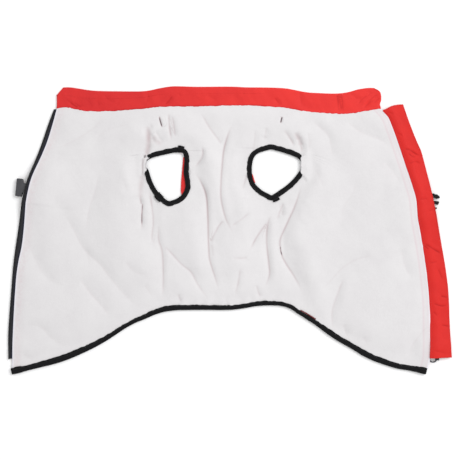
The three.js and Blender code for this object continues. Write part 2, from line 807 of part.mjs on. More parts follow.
/** The cells of a back edge between two heights, cut on the facets of the panel's grid. */
function edgeCells(grid, column, topY, footY) {
  const cells = grid.map((row) => row[column]);
  const cut = (y) => {
    const i = cells.findIndex((p) => p.y < y);
    const t = (cells[i - 1].y - y) / (cells[i - 1].y - cells[i].y);
    return {
      x: mix(cells[i - 1].x, cells[i].x, t),
      y,
      lift: mix(cells[i - 1].lift, cells[i].lift, t),
    };
  };
  const between = cells.filter((p) => p.y < topY - 1 && p.y > footY + 1);
  return [cut(Math.min(topY, cells[0].y - 0.01)), ...between, cut(footY)];
}

/** A tape along a back edge, tucked under the lining and showing past it. */
function tapeGeometry(cells, outSide, showAt) {
  return wall(
    cells.map((p) => {
      const show = showAt(p.y);
      return [-TAPE_TUCK, 0, show].map((out) => ({
        x: p.x + out * outSide,
        y: p.y,
        low: SHELL_LOW + p.lift,
        top: SHELL_TOP + p.lift,
      }));
    }),
  );
}

/** The coil on the tape's outer edge, as one bar with a six-sided section. */
function coilGeometry(cells, outSide, showAt) {
  const low = SHELL_TOP + GAP;
  const section = [
    { out: 0, level: 0 },
    { out: 1, level: 0 },
    { out: 1, level: 0.55 },
    { out: 0.75, level: 1 },
    { out: 0.25, level: 1 },
    { out: 0, level: 0.55 },
  ];
  return loft(
    cells.map((p) => {
      const start = showAt(p.y) - COIL.width - COIL.inset;
      return section.map((s) => {
        const x = p.x + outSide * (start + s.out * COIL.width);
        return new THREE.Vector3(x, p.y, low + p.lift + s.level * COIL.height);
      });
    }),
    false,
  );
}

const showLeft = (y) => lookUp(ZIP_LEFT_SHOW, "y", "show", y);
const showRight = () => ZIP_RIGHT_SHOW;
const leftZip = edgeCells(grids.left, 0, BACK_LEFT[0].y, ZIP_END_Y);
const leftCoil = edgeCells(grids.left, 0, BACK_LEFT[0].y - 3, PIN_TOP_Y);
const rightZip = edgeCells(grids.right, COLUMNS.flank, ZIP_RIGHT_TOP_Y, ZIP_RIGHT_END_Y);
addMesh("zip_tape_left", tapeGeometry(leftZip, -1, showLeft), "zip");
addMesh("zip_coil_left", coilGeometry(leftCoil, -1, showLeft), "zip");
addMesh("zip_tape_right", tapeGeometry(rightZip, 1, showRight), "zip");
addMesh("zip_coil_right", coilGeometry(rightZip, 1, showRight), "zip");

/** The pin that stands in for the last stretch of the left coil. */
function pinGeometry() {
  const cells = edgeCells(grids.left, 0, PIN_TOP_Y - GAP, ZIP_END_Y - 1);
  const start = SHELL_TOP + GAP + PIN.radius;
  return loft(
    cells.map((p) => {
      const centreX = p.x - showLeft(p.y) + COIL.inset + COIL.width / 2;
      return Array.from({ length: PIN.sides }, (_, k) => {
        const angle = (2 * Math.PI * k) / PIN.sides;
        const x = centreX + PIN.radius * Math.cos(angle);
        return new THREE.Vector3(x, p.y, start + p.lift + PIN.radius * Math.sin(angle));
      });
    }),
    false,
  );
}
addMesh("zip_pin", pinGeometry(), "zip");

addMesh(
  "zip_box",
  block([BOX.left, BOX.foot, BOX.low], [BOX.right, BOX.head, BOX.top]),
  "zip",
);

// Placket: a doubled band sewn beside the right half of the zip, which it covers

/** Shares of the way along a line of points. */
function alongShares(points) {
  const sums = [0];
  for (let i = 1; i < points.length; i += 1) {
    const step = Math.hypot(points[i].x - points[i - 1].x, points[i].y - points[i - 1].y);
    sums.push(sums[i - 1] + step);
  }
  return sums.map((sum) => sum / sums[sums.length - 1]);
}

function placketGeometry() {
  const cells = edgeCells(grids.right, COLUMNS.flank, PLACKET_TOP_Y, PLACKET_FOOT_Y);
  const edge = curveOf(PLACKET_EDGE);
  const shares = alongShares(cells);
  return wall(
    cells.map((p, i) => {
      const outer = edge.getPointAt(shares[i]);
      return PLACKET_SECTION.map(({ share, low }) => {
        const arch = i === 0 ? PLACKET_TOP_ARCH * Math.sin(Math.PI * share) : 0;
        const x = mix(p.x + GAP, outer.x, share);
        const y = mix(p.y, outer.y, share) + arch;
        const lift = share < 0.5 ? p.lift : liftAt(x, y);
        const start = low + lift + liftOf(PLACKET_LIFT, x, y);
        return { x, y, low: start, top: start + PLACKET_THICKNESS };
      });
    }),
  );
}
addMesh("placket", placketGeometry(), "nylon");

// Slider: two plates joined by a post, with a bail under it for the ring

/** Outline of a slider's plate, narrower toward its foot. */
function sliderOutline() {
  const half = SLIDER.width / 2;
  const end = SLIDER.length / 2;
  return [
    [-half * SLIDER_FOOT_SHARE, -end],
    [half * SLIDER_FOOT_SHARE, -end],
    [half, end * 0.1],
    [half, end * 0.7],
    [half * 0.7, end],
    [-half * 0.7, end],
    [-half, end * 0.7],
    [-half, end * 0.1],
  ].map(([x, y]) => [SLIDER.x + x, SLIDER.y + y]);
}

function sliderGeometry() {
  const lowTop = SLIDER.low + SLIDER.plate;
  const outline = sliderOutline();
  const half = SLIDER.width / 2;
  const postX = SLIDER.x + half - SLIDER_POST.edge;
  const footY = SLIDER.y - SLIDER.length / 2;
  const bailIn = BAIL.inside / 2;
  const bailOut = bailIn + BAIL.wall;
  const [bailLeft, bailRight] = [BAIL.x - BAIL.width / 2, BAIL.x + BAIL.width / 2];
  return carve(
    [
      plate(outline, SLIDER.low, lowTop),
      plate(outline, SLIDER.gapTop, SLIDER.gapTop + SLIDER.plate),
      block(
        [postX, footY + SLIDER_POST.start, SLIDER.low + WELD],
        [postX + SLIDER_POST.width, footY + SLIDER_POST.end, SLIDER.gapTop + WELD],
      ),
      block(
        [bailLeft, BAIL.y - bailOut, BAIL.low],
        [bailRight, BAIL.y + bailOut, lowTop - WELD],
      ),
    ],
    [
      block(
        [bailLeft - BAIL_NOTCH.past, BAIL.y - bailIn, BAIL.low + BAIL.floor],
        [bailRight + BAIL_NOTCH.past, BAIL.y + bailIn, BAIL_NOTCH.top],
      ),
    ],
  );
}
addMesh("zip_slider", sliderGeometry(), "metal");

// The ring hangs from the bail and rests with its far side on the surface
const bailReach = Math.sqrt(RING.radius ** 2 - (RING.x - BAIL.x) ** 2);
const ringDrop = RING.pivotZ - RING.wire - RING.rest;
const pull = new THREE.Group();
pull.position.set(BAIL.x, BAIL.y, RING.pivotZ);
pull.rotation.x = Math.asin(ringDrop / (RING.radius + bailReach));
const ring = new THREE.TorusGeometry(RING.radius, RING.wire, RING.sides, RING.steps);
ring.rotateZ(Math.PI / RING.steps);
ring.translate(RING.x - BAIL.x, -bailReach, 0);
addMesh("zip_pull", ring, "metal", pull);
root.add(pull);

// Buckle halves, each along its own X from the end that shows toward its strap

const SOCKET = {
  mouthHalf: 16,
  mouthLength: 10.3,
  waistStart: 12.6,
  waistHalf: 8.6,
  heelStart: 27,
  heelHalf: 13,
  height: 8.2,
  wall: 1.4,
  insideHalf: 13.4,
  insideEnd: 13,
  throatHalf: 6.4,
  throatEnd: 24,
  bar: [1.9, 5.4],
};
const PLUG = {
  heelStart: 22,
  heelHalf: 13.5,
  height: 6,
  arms: [1.4, 4.6],
  tongue: [1.7, 4.3],
  bar: [1.7, 4.2],
};
const SLOT = { start: 28.8, end: 34.2, half: 10.8 };
const CORNER = 1;

/** A shape's outline from its upper half, mirrored about the X axis. */
const mirrored = (upper) => [...upper, ...upper.map(([x, y]) => [x, -y]).reverse()];

/** What is cut from a buckle half so that the strap can pass round its bar. */
function strapCuts([barLow, barTop], height) {
  const above = height + CUT_PAST;
  const past = BUCKLE_LENGTH + CUT_PAST;
  const inSlot = SLOT.end - CUT_PAST;
  return [
    block([SLOT.start, -SLOT.half, -CUT_PAST], [SLOT.end, SLOT.half, above]),
    block([inSlot, -SLOT.half, -CUT_PAST], [past, SLOT.half, barLow]),
    block([inSlot, -SLOT.half, barTop], [past, SLOT.half, above]),
  ];
}

function socketGeometry() {
  const s = SOCKET;
  const outline = mirrored([
    [0, s.mouthHalf - CORNER],
    [CORNER, s.mouthHalf],
    [s.mouthLength, s.mouthHalf],
    [s.waistStart, s.waistHalf],
    [s.heelStart - 2.4, s.waistHalf],
    [s.heelStart, s.heelHalf],
    [BUCKLE_LENGTH - CORNER, s.heelHalf],
    [BUCKLE_LENGTH, s.heelHalf - CORNER],
  ]);
  const [floor, roof] = [s.wall, s.height - s.wall];
  return carve(
    [plate(outline, 0, s.height)],
    [
      block([-CUT_PAST, -s.insideHalf, floor], [s.insideEnd, s.insideHalf, roof]),
      block([s.mouthLength, -s.throatHalf, floor], [s.throatEnd, s.throatHalf, roof]),
      ...strapCuts(s.bar, s.height),
    ],
  );
}

function plugGeometry() {
  const arm = [
    [23, 7.4],
    [12, 8.4],
    [6, 9.4],
    [0.6, 8.8],
    [0, 10.4],
    [3, 12.2],
    [9, 13.6],
    [12, 11.2],
    [23, 10.8],
  ];
  const tongue = mirrored([
    [1.5, 1.3],
    [3, 2],
    [23, 2],
  ]);
  const heel = mirrored([
    [PLUG.heelStart, PLUG.heelHalf - CORNER],
    [PLUG.heelStart + CORNER, PLUG.heelHalf],
    [BUCKLE_LENGTH - CORNER, PLUG.heelHalf],
    [BUCKLE_LENGTH, PLUG.heelHalf - CORNER],
  ]);
  const otherArm = arm.map(([x, y]) => [x, -y]).reverse();
  return carve(
    [
      plate(heel, 0, PLUG.height),
      plate(arm, ...PLUG.arms),
      plate(otherArm, ...PLUG.arms),
      plate(tongue, ...PLUG.tongue),
    ],
    strapCuts(PLUG.bar, PLUG.height),
  );
}

/** A strap's side view, from its sewn end through the slot and back over the buckle's bar. */
function strapGeometry([barLow, barTop]) {
  const t = WEBBING;
  const under = barLow - GAP;
  const over = barTop + GAP;
  const loopIn = SLOT.end - GAP;
  const loopOut = loopIn - t;
  const end = BUCKLE_LENGTH + STRAP.length;
  const back = BUCKLE_LENGTH + STRAP.turnedBack;
  const landing = BUCKLE_LENGTH + STRAP.landing;
  const side = [
    [end, 0],
    [end, t],
    [BUCKLE_LENGTH + t, t],
    [BUCKLE_LENGTH - t, under],
    [loopIn, under],
    [loopIn, over],
    [BUCKLE_LENGTH, over],
    [landing, t + GAP],
    [back, t + GAP],
    [back, 2 * t + GAP],
    [landing + t / 2, 2 * t + GAP],
    [BUCKLE_LENGTH + t / 2, over + t],
    [loopOut + t / 2, over + t],
    [loopOut, over],
    [loopOut, under - t / 2],
    [loopOut + t / 2, under - t],
    [BUCKLE_LENGTH - 1.5 * t, under - t],
    [BUCKLE_LENGTH - t / 2, 0],
  ];
  const geometry = plate(side, -STRAP.width / 2, STRAP.width / 2);
  return geometry.rotateX(Math.PI / 2);
}

/** Adds a half of the buckle and its strap where they lie under the coat. */
function addBeltEnd(place, buckleName, buckleShape, finish, strapName, bar) {
  const group = new THREE.Group();
  group.position.set(place.x, place.y, 0);
  group.rotation.z = THREE.MathUtils.degToRad(place.turnDeg);
  addMesh(buckleName, buckleShape, finish, group);
  addMesh(strapName, strapGeometry(bar), "webbing", group);
  root.add(group);
}
addBeltEnd(SOCKET_PLACE, "buckle_socket", socketGeometry(), "socket", "strap_left", SOCKET.bar);
addBeltEnd(PLUG_PLACE, "buckle_plug", plugGeometry(), "plug", "strap_right", PLUG.bar);

// The frame's origin is under the middle of the coat's outline
root.updateMatrixWorld(true);
const bounds = new THREE.Box3().setFromObject(root, true);
const middle = bounds.getCenter(new THREE.Vector3());
root.position.set(-middle.x, -middle.y, -bounds.min.z);

export default root;
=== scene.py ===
"""A dog winter coat, opened out flat with its fleece lining up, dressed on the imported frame."""

from __future__ import annotations

import json
import logging
import math
from dataclasses import dataclass, field
from enum import Enum
from typing import Any, Sequence

import bmesh
import bpy
import numpy as np
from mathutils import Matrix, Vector
from mathutils.bvhtree import BVHTree

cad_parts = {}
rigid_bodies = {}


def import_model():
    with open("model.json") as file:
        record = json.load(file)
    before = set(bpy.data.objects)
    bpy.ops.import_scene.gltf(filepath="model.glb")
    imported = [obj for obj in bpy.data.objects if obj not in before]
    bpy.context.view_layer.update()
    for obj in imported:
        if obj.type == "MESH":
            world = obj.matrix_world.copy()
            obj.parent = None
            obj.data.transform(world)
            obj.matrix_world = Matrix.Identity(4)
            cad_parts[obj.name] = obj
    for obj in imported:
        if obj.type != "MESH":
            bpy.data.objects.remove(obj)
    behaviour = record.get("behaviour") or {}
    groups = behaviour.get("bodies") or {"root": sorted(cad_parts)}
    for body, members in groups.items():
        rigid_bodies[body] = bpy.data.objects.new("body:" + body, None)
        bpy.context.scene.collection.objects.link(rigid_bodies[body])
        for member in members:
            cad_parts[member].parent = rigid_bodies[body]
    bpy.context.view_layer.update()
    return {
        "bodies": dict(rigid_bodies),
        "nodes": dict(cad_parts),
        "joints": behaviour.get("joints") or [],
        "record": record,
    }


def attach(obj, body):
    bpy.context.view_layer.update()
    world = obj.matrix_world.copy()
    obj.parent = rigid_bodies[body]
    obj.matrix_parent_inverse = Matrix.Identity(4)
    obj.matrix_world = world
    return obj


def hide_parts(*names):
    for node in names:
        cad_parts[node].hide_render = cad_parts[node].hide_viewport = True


LOG = logging.getLogger("coat")
MM = 0.001

# How much brighter the studio lights a card than the card is
LIGHT_LEVEL = 1.155

# The photograph's centre and one of its pixels, in mm, and its width in pixels
PHOTO_CENTRE = (0.18, 0.79)
PHOTO_PIXEL = 1.8
PHOTO_WIDTH = 460

# No cloth hangs lower than this above the table, in mm
LOWEST = 0.05

# The wave that repeatable values are taken from: its turns along x, y and seed, and its spread
HASH_TURNS = (127.1, 311.7, 74.7)
HASH_SPREAD = 43758.5453

# A cloth's rolled edge: its steps, its radius in a seam in mm, and the hem's width in radii
ROLL_STEPS = 4
SEAM_ROLL = 0.08
HEM_RADII = 4

# A crease's section: shares and width of its broad and thin troughs, and its ridge in half widths
BROAD, THIN, THIN_HALF = 0.65, 0.35, 0.42
RIDGE_AT, RIDGE_HALF, RIDGE_REACH = 1.5, 1.3, 3.0

# Over which shares of its length a crease comes and goes, and how uneven it is on the way
FADE_IN, FADE_OUT, UNEVEN = 0.22, 0.28, 0.3

# A stitch: its share of the pitch, and the thread's width and height in mm
STITCH_SHARE = 0.74
THREAD_SIZE = (0.55, 0.45)

# Angles of hard pieces: level faces, edges that are rounded, and edges that stay crisp
LEVEL, ROUNDED, CRISP = math.radians(1), math.radians(25), math.radians(40)


class Body(Enum):
    """The two bodies of the coat that move apart."""

    COAT = "coat"
    PULL = "pull"


class Slot(Enum):
    """Material slots of the record."""

    FLEECE = "fleece"
    NYLON = "nylon"
    BINDING = "binding_tape"
    ZIP_TAPE = "zip_tape"
    ZIP_PLASTIC = "zip_plastic"
    WEBBING = "webbing"
    GREY = "buckle_grey"
    BLACK = "buckle_black"
    METAL = "gunmetal"


# Numbers and curves


def smooth(t: np.ndarray | float) -> np.ndarray:
    """A soft step from 0 to 1."""
    c = np.clip(t, 0.0, 1.0)
    return c * c * (3.0 - 2.0 * c)


def mix(a: Any, b: Any, t: Any) -> Any:
    """The value that lies the share t of the way from a to b."""
    return a + (b - a) * t


def hashed(ix: np.ndarray, iy: np.ndarray, seed: int) -> np.ndarray:
    """Repeatable values from 0 to 1 for whole numbered places."""
    along, across, deep = HASH_TURNS
    wave = np.sin(ix * along + iy * across + seed * deep) * HASH_SPREAD
    return wave - np.floor(wave)


def soft_noise(x: np.ndarray, y: np.ndarray, size: float, seed: int) -> np.ndarray:
    """Smooth noise from -1 to 1.

    Args:
        x: places in mm.
        y: places in mm.
        size: the size of its patches in mm.
        seed: a different number for each layer.

    Returns:
        One value for each place.
    """
    gx, gy = x / size, y / size
    ix, iy = np.floor(gx), np.floor(gy)
    fx, fy = smooth(gx - ix), smooth(gy - iy)
    low = mix(hashed(ix, iy, seed), hashed(ix + 1, iy, seed), fx)
    high = mix(hashed(ix, iy + 1, seed), hashed(ix + 1, iy + 1, seed), fx)
    return 2.0 * mix(low, high, fy) - 1.0


def upsample(points: np.ndarray, factor: int, closed: bool = False) -> np.ndarray:
    """A smooth curve through points.

    Args:
        points: the points, one a row.
        factor: how many steps lie between two of them.
        closed: whether the last point leads back to the first.

    Returns:
        The finer points. A closed curve doesn't repeat its first.
    """
    if closed:
        padded = np.vstack([points[-1:], points, points[:2]])
    else:
        padded = np.vstack([2 * points[0] - points[1], points, 2 * points[-1] - points[-2]])
    t = (np.arange(factor) / factor)[:, None]
    spans = []
    for i in range(len(padded) - 3):
        a, b, c, d = padded[i : i + 4]
        cubic = 2 * b + (c - a) * t + (2 * a - 5 * b + 4 * c - d) * t**2 + (3 * b - a - 3 * c + d) * t**3
        spans.append(0.5 * cubic)
    return np.vstack(spans if closed else spans + [points[-1:]])


def lengths(points: np.ndarray) -> np.ndarray:
    """Distance along a line of points, from 0 at its first."""
    steps = np.linalg.norm(np.diff(points, axis=0), axis=1)
    return np.concatenate([[0.0], np.cumsum(steps)])


def walked(points: np.ndarray, count: int) -> np.ndarray:
    """A line of points walked again in that many even steps."""
    along = lengths(points)
    at = np.linspace(0.0, along[-1], count + 1)
    return np.column_stack([np.interp(at, along, points[:, k]) for k in range(points.shape[1])])


def spaced(points: np.ndarray, step: float) -> np.ndarray:
    """A line of points walked again in even steps of about that length."""
    return walked(points, max(int(round(lengths(points)[-1] / step)), 1))


def matched(one: np.ndarray, other: np.ndarray) -> tuple[np.ndarray, np.ndarray]:
    """Two lines with the same number of points, walked again in even steps if they differ."""
    if len(one) == len(other):
        return one, other
    count = max(len(one), len(other)) - 1
    return walked(one, count), walked(other, count)


def parts(grid: np.ndarray) -> tuple[np.ndarray, np.ndarray, np.ndarray]:
    """The x, y and z of a grid of points. What changes in them changes in the grid."""
    return grid[..., 0], grid[..., 1], grid[..., 2]


def left_normals(points: np.ndarray, closed: bool) -> np.ndarray:
    """Unit normals in the plane, to the left of a line's direction."""
    if closed:
        ahead = np.roll(points, -1, axis=0) - np.roll(points, 1, axis=0)
    else:
        ahead = np.gradient(points, axis=0)
    ahead = ahead[:, :2] / np.linalg.norm(ahead[:, :2], axis=1)[:, None]
    return np.column_stack([-ahead[:, 1], ahead[:, 0]])


def soften(grid: np.ndarray, passes: int) -> np.ndarray:
    """A field evened out, a little more with each pass."""
    for _ in range(passes):
        p = np.pad(grid, 1, mode="edge")
        rows = (p[:-2] + 2 * p[1:-1] + p[2:]) / 4
        grid = (rows[:, :-2] + 2 * rows[:, 1:-1] + rows[:, 2:]) / 4
    return grid


@dataclass
class Nearness:
    """How places lie beside a line: distance, signed side and share of the way along it."""

    distance: np.ndarray
    side: np.ndarray
    along: np.ndarray


def beside(line: np.ndarray, x: np.ndarray, y: np.ndarray) -> Nearness:
    """How places lie beside a line of points.

    Args:
        line: the line's points.
        x: the places, in the same unit.
        y: the places.

    Returns:
        Their nearness. The side is positive to the left of the line's direction.
    """
    total = lengths(line[:, :2])
    best = np.full(x.shape, np.inf)
    side = np.zeros(x.shape)
    share = np.zeros(x.shape)
    for i in range(len(line) - 1):
        ax, ay = line[i, :2]
        dx, dy = line[i + 1, :2] - line[i, :2]
        span = math.hypot(dx, dy) or 1e-9
        t = np.clip(((x - ax) * dx + (y - ay) * dy) / span**2, 0.0, 1.0)
        away = np.hypot(x - ax - t * dx, y - ay - t * dy)
        nearer = away < best
        best = np.where(nearer, away, best)
        turn = np.sign(dx * (y - ay) - dy * (x - ax))
        side = np.where(nearer, away * turn, side)
        share = np.where(nearer, (total[i] + t * span) / total[-1], share)
    return Nearness(best, side, share)


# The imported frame, read in millimetres


class PackedShape:
    """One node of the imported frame.

    A face that looks up by more than UP is on its top. Corners closer than WELD metres are one. Rays
    start at the height ABOVE, and STEEP is how much more height counts than width for a long node's ends.
    """

    UP = 0.3
    WELD = 2e-6
    ABOVE = 500.0
    STEEP = 12.0

    def __init__(self, node: bpy.types.Object) -> None:
        """Reads the node's mesh with its shared corners joined."""
        self.mesh = bmesh.new()
        self.mesh.from_mesh(node.data)
        bmesh.ops.remove_doubles(self.mesh, verts=self.mesh.verts, dist=self.WELD)
        bmesh.ops.scale(self.mesh, vec=(1 / MM,) * 3, verts=self.mesh.verts)
        self.mesh.normal_update()
        self.mesh.verts.ensure_lookup_table()
        self.points = np.array([v.co for v in self.mesh.verts])
        self.tree = BVHTree.FromBMesh(self.mesh)

    def rim(self) -> np.ndarray:
        """The loop round its upward faces, against the clock as seen from above."""
        edges = set()
        for face in self.mesh.faces:
            if face.normal.z > self.UP:
                turn = [v.index for v in face.verts]
                edges.update(zip(turn, turn[1:] + turn[:1]))
        border = {a: b for a, b in edges if (b, a) not in edges}
        loop = [min(border)]
        while border[loop[-1]] != loop[0]:
            loop.append(border[loop[-1]])
        return self.points[loop]

    def sides(self, corners: Sequence[tuple[float, float]]) -> dict[str, np.ndarray]:
        """The rim cut at four corners.

        Args:
            corners: about where they lie: top left, bottom left, bottom right, top right.

        Returns:
            left and right from the top down, top and bottom from the left.
        """
        loop = self.rim()
        marks = [int(np.argmin(np.linalg.norm(loop[:, :2] - np.array(c), axis=1))) for c in corners]
        loop = np.roll(loop, -marks[0], axis=0)
        a, b, c = [(m - marks[0]) % len(loop) for m in marks[1:]]
        return {
            "left": loop[: a + 1],
            "bottom": loop[a : b + 1],
            "right": loop[b : c + 1][::-1],
            "top": np.vstack([loop[c:], loop[:1]])[::-1],
        }

    def end_corners(self) -> list[tuple[float, float]]:
        """Corners of a node that runs from the top down: its widest places at both ends."""
        flat = self.rim()[:, :2]
        weights = [(-1, self.STEEP), (-1, -self.STEEP), (1, -self.STEEP), (1, self.STEEP)]
        return [tuple(flat[np.argmax(flat @ np.array(w))]) for w in weights]

    def level(self, height: float, tolerance: float = 0.05) -> np.ndarray:
        """Its corners that lie at one height."""
        return self.points[np.abs(self.points[:, 2] - height) < tolerance]

    def tops(self, x: np.ndarray, y: np.ndarray) -> np.ndarray:
        """Height of its upper face at places, filled in from beside where a place just misses it."""
        down = Vector((0, 0, -1))
        flat = np.full(x.size, np.nan)
        for k, (px, py) in enumerate(zip(x.ravel(), y.ravel())):
            hit = self.tree.ray_cast(Vector((px, py, self.ABOVE)), down)[0]
            if hit is not None:
                flat[k] = hit.z
        grid = flat.reshape(x.shape if x.ndim == 2 else (1, x.size))
        for turned in (grid, grid.T):
            for row in turned:
                known = ~np.isnan(row)
                if known.any() and not known.all():
                    row[~known] = np.interp(np.flatnonzero(~known), np.flatnonzero(known), row[known])
        return grid.reshape(x.shape)


# Meshes


def linked(name: str, data: bpy.types.ID) -> bpy.types.Object:
    """A new object that shows the data, in the scene."""
    made = bpy.data.objects.new(name, data)
    bpy.context.scene.collection.objects.link(made)
    return made


def make_object(
    name: str, points: np.ndarray, faces: list, uvs: np.ndarray | None = None
) -> bpy.types.Object:
    """A smooth shaded object from points in millimetres.

    Args:
        name: the piece's name.
        points: its corners.
        faces: corner numbers of each face.
        uvs: a place on the cloth for each corner, in mm.

    Returns:
        The object, linked into the scene.
    """
    mesh = bpy.data.meshes.new(name)
    mesh.from_pydata((points * MM).tolist(), [], faces)
    mesh.validate()
    if uvs is not None:
        corner = np.empty(len(mesh.loops), dtype=np.int32)
        mesh.loops.foreach_get("vertex_index", corner)
        layer = mesh.uv_layers.new(name="cloth")
        layer.data.foreach_set("uv", (uvs[corner] * MM).astype(np.float32).ravel())
    mesh.shade_smooth()
    mesh.update()
    return linked(name, mesh)


def grid_faces(rows: int, columns: int, start: int = 0, flip: bool = False) -> list[tuple[int, ...]]:
    """Four cornered faces of a grid whose rows go down and whose columns go to the right."""
    i, j = np.meshgrid(np.arange(rows - 1), np.arange(columns - 1), indexing="ij")
    a = (start + i * columns + j).ravel()
    quads = np.column_stack([a, a + columns, a + columns + 1, a + 1])
    return [tuple(q) for q in (quads[:, ::-1] if flip else quads).tolist()]


def border_of(rows: int, columns: int) -> np.ndarray:
    """Corner numbers round a grid, against the clock as seen from above."""
    numbers = np.arange(rows * columns).reshape(rows, columns)
    return np.concatenate([numbers[:-1, 0], numbers[-1, :-1], numbers[:0:-1, -1], numbers[0, :0:-1]])


def add_attribute(piece: bpy.types.Object, name: str, values: np.ndarray) -> None:
    """Stores one number for each corner of a piece, for its material."""
    layer = piece.data.attributes.new(name=name, type="FLOAT", domain="POINT")
    padded = np.zeros(len(piece.data.vertices), dtype=np.float32)
    padded[: values.size] = values.ravel()
    layer.data.foreach_set("value", padded)


def mark_creases(piece: bpy.types.Object, side: np.ndarray, line: np.ndarray) -> None:
    """Stores where the creases of a piece run and how strongly their painted shade shows."""
    add_attribute(piece, "crease_side", side)
    add_attribute(piece, "crease_shade", line)


def cloth_mesh(
    name: str, top: np.ndarray, thickness: float, underside: bool, sewn: np.ndarray | None = None
) -> bpy.types.Object:
    """A cloth's wall with rolled edges, from the grid of its upper face.

    Args:
        name: the piece's name.
        top: rows by columns by 3.
        thickness: the wall's thickness in mm.
        underside: whether it has a whole lower face, or only a hem of one.
        sewn: corners of the grid that lie in a seam, where the edge isn't rolled.

    Returns:
        The object. Its first corners are those of the grid, in order.
    """
    rows, columns = top.shape[:2]
    border = border_of(rows, columns)
    flat = top.reshape(-1, 3).copy()
    ring = flat[border].copy()
    out = -left_normals(ring, closed=True)
    radius = thickness / 2
    roll = np.full((len(border), 1), radius)
    if sewn is not None:
        roll[sewn.ravel()[border]] = SEAM_ROLL
    inner = ring.copy()
    inner[:, :2] -= out * roll
    flat[border] = inner
    layers = [flat]
    for k in range(1, ROLL_STEPS):
        angle = math.pi * k / ROLL_STEPS
        turn = inner.copy()
        turn[:, :2] += out * roll * math.sin(angle)
        turn[:, 2] = np.maximum(turn[:, 2] + radius * (math.cos(angle) - 1), LOWEST)
        layers.append(turn)
    size = len(border)
    faces = grid_faces(rows, columns)
    start = rows * columns + (ROLL_STEPS - 1) * size
    if underside:
        low = flat.copy()
        low[:, 2] = np.maximum(low[:, 2] - thickness, LOWEST)
        layers.append(low)
        rings = ROLL_STEPS - 1
    else:
        low = inner.copy()
        low[:, 2] -= thickness
        hem = low.copy()
        hem[:, :2] -= out * HEM_RADII * radius
        layers += [low, hem]
        rings = ROLL_STEPS + 1
    previous = border
    for k in range(rings):
        ringed = np.arange(size) + rows * columns + k * size
        faces += ring_faces(previous, ringed)
        previous = ringed
    if underside:
        faces += grid_faces(rows, columns, start, flip=True)
        faces += ring_faces(previous, start + border)
    points = np.vstack(layers)
    piece = make_object(name, points, faces, points[:, :2])
    if sewn is not None:
        crisp_edges(piece, np.flatnonzero(sewn.ravel()))
    return piece


def crisp_edges(piece: bpy.types.Object, corners: np.ndarray) -> None:
    """Keeps a cloth's shading flat up to its edge, where both ends of the edge are among the corners."""
    mesh = piece.data
    ends = np.empty(2 * len(mesh.edges), dtype=np.int32)
    mesh.edges.foreach_get("vertices", ends)
    both = np.isin(ends.reshape(-1, 2), corners).all(axis=1)
    layer = mesh.attributes.new(name="sharp_edge", type="BOOLEAN", domain="EDGE")
    layer.data.foreach_set("value", both)


def ring_faces(upper: np.ndarray, lower: np.ndarray) -> list[tuple[int, ...]]:
    """Faces between two closed rings of corner numbers."""
    quads = np.column_stack([upper, lower, np.roll(lower, -1), np.roll(upper, -1)])
    return [tuple(q) for q in quads.tolist()]


def loft(name: str, rings: np.ndarray, closed: bool) -> bpy.types.Object:
    """A closed skin through rings of points.

    Args:
        name: the piece's name.
        rings: rings by corners by 3.
        closed: whether the last ring leads back to the first, or both ends are capped.

    Returns:
        The object, with the distance along and round it as its place on the cloth.
    """
    count, size = rings.shape[:2]
    numbers = np.arange(count * size).reshape(count, size)
    faces = []
    for i in range(count if closed else count - 1):
        faces += ring_faces(numbers[i], numbers[(i + 1) % count])
    if not closed:
        faces += [tuple(numbers[0].tolist()), tuple(numbers[-1][::-1].tolist())]
    along = np.repeat(lengths(rings.mean(axis=1))[:, None], size, axis=1)
    around = np.repeat(lengths(rings[0])[None, :], count, axis=0)
    uvs = np.column_stack([along.ravel(), around.ravel()])
    piece = make_object(name, rings.reshape(-1, 3), faces, uvs)
    solid = bmesh.new()
    solid.from_mesh(piece.data)
    bmesh.ops.recalc_face_normals(solid, faces=solid.faces)
    solid.to_mesh(piece.data)
    solid.free()
    return piece


def repeated(name: str, shape: np.ndarray, faces: np.ndarray, places: np.ndarray) -> bpy.types.Object:
    """One mesh of many copies of a small shape.

    Args:
        name: the piece's name.
        shape: the small shape's corners.
        faces: its faces, all with the same number of corners.
        places: a 3 by 4 matrix for each copy.

    Returns:
        The object.
    """
    moved = np.einsum("nij,kj->nki", places[:, :, :3], shape) + places[:, None, :, 3]
    numbers = faces[None] + (np.arange(len(places)) * len(shape))[:, None, None]
    return make_object(name, moved.reshape(-1, 3), numbers.reshape(-1, faces.shape[1]).tolist())


def bead(long: float, wide: float, high: float) -> tuple[np.ndarray, np.ndarray]:
    """A rounded bead along X, as corners and faces."""
    sides, rings = 8, 7
    turn = np.linspace(0, 2 * math.pi, sides, endpoint=False)
    rows = []
    for k in range(rings):
        angle = math.pi * (k + 0.5) / rings
        size = math.sin(angle) ** 0.5
        across, up = np.cos(turn) * size * wide / 2, np.sin(turn) * size * high / 2
        rows.append(np.column_stack([np.full(sides, -math.cos(angle) * long / 2), across, up]))
    i, j = np.meshgrid(np.arange(rings - 1), np.arange(sides), indexing="ij")
    nexts = (j + 1) % sides
    faces = np.stack([i * sides + j, i * sides + nexts, (i + 1) * sides + nexts, (i + 1) * sides + j], -1)
    return np.vstack(rows), faces.reshape(-1, 4)


def placed(centres: np.ndarray, ahead: np.ndarray) -> np.ndarray:
    """Matrices that put copies at centres, with X along ahead and Z up."""
    x = ahead / np.linalg.norm(ahead, axis=1)[:, None]
    y = np.cross(np.array([0.0, 0.0, 1.0]), x)
    y /= np.linalg.norm(y, axis=1)[:, None]
    z = np.cross(x, y)
    return np.stack([x, y, z, centres], axis=2)


# Shader maths


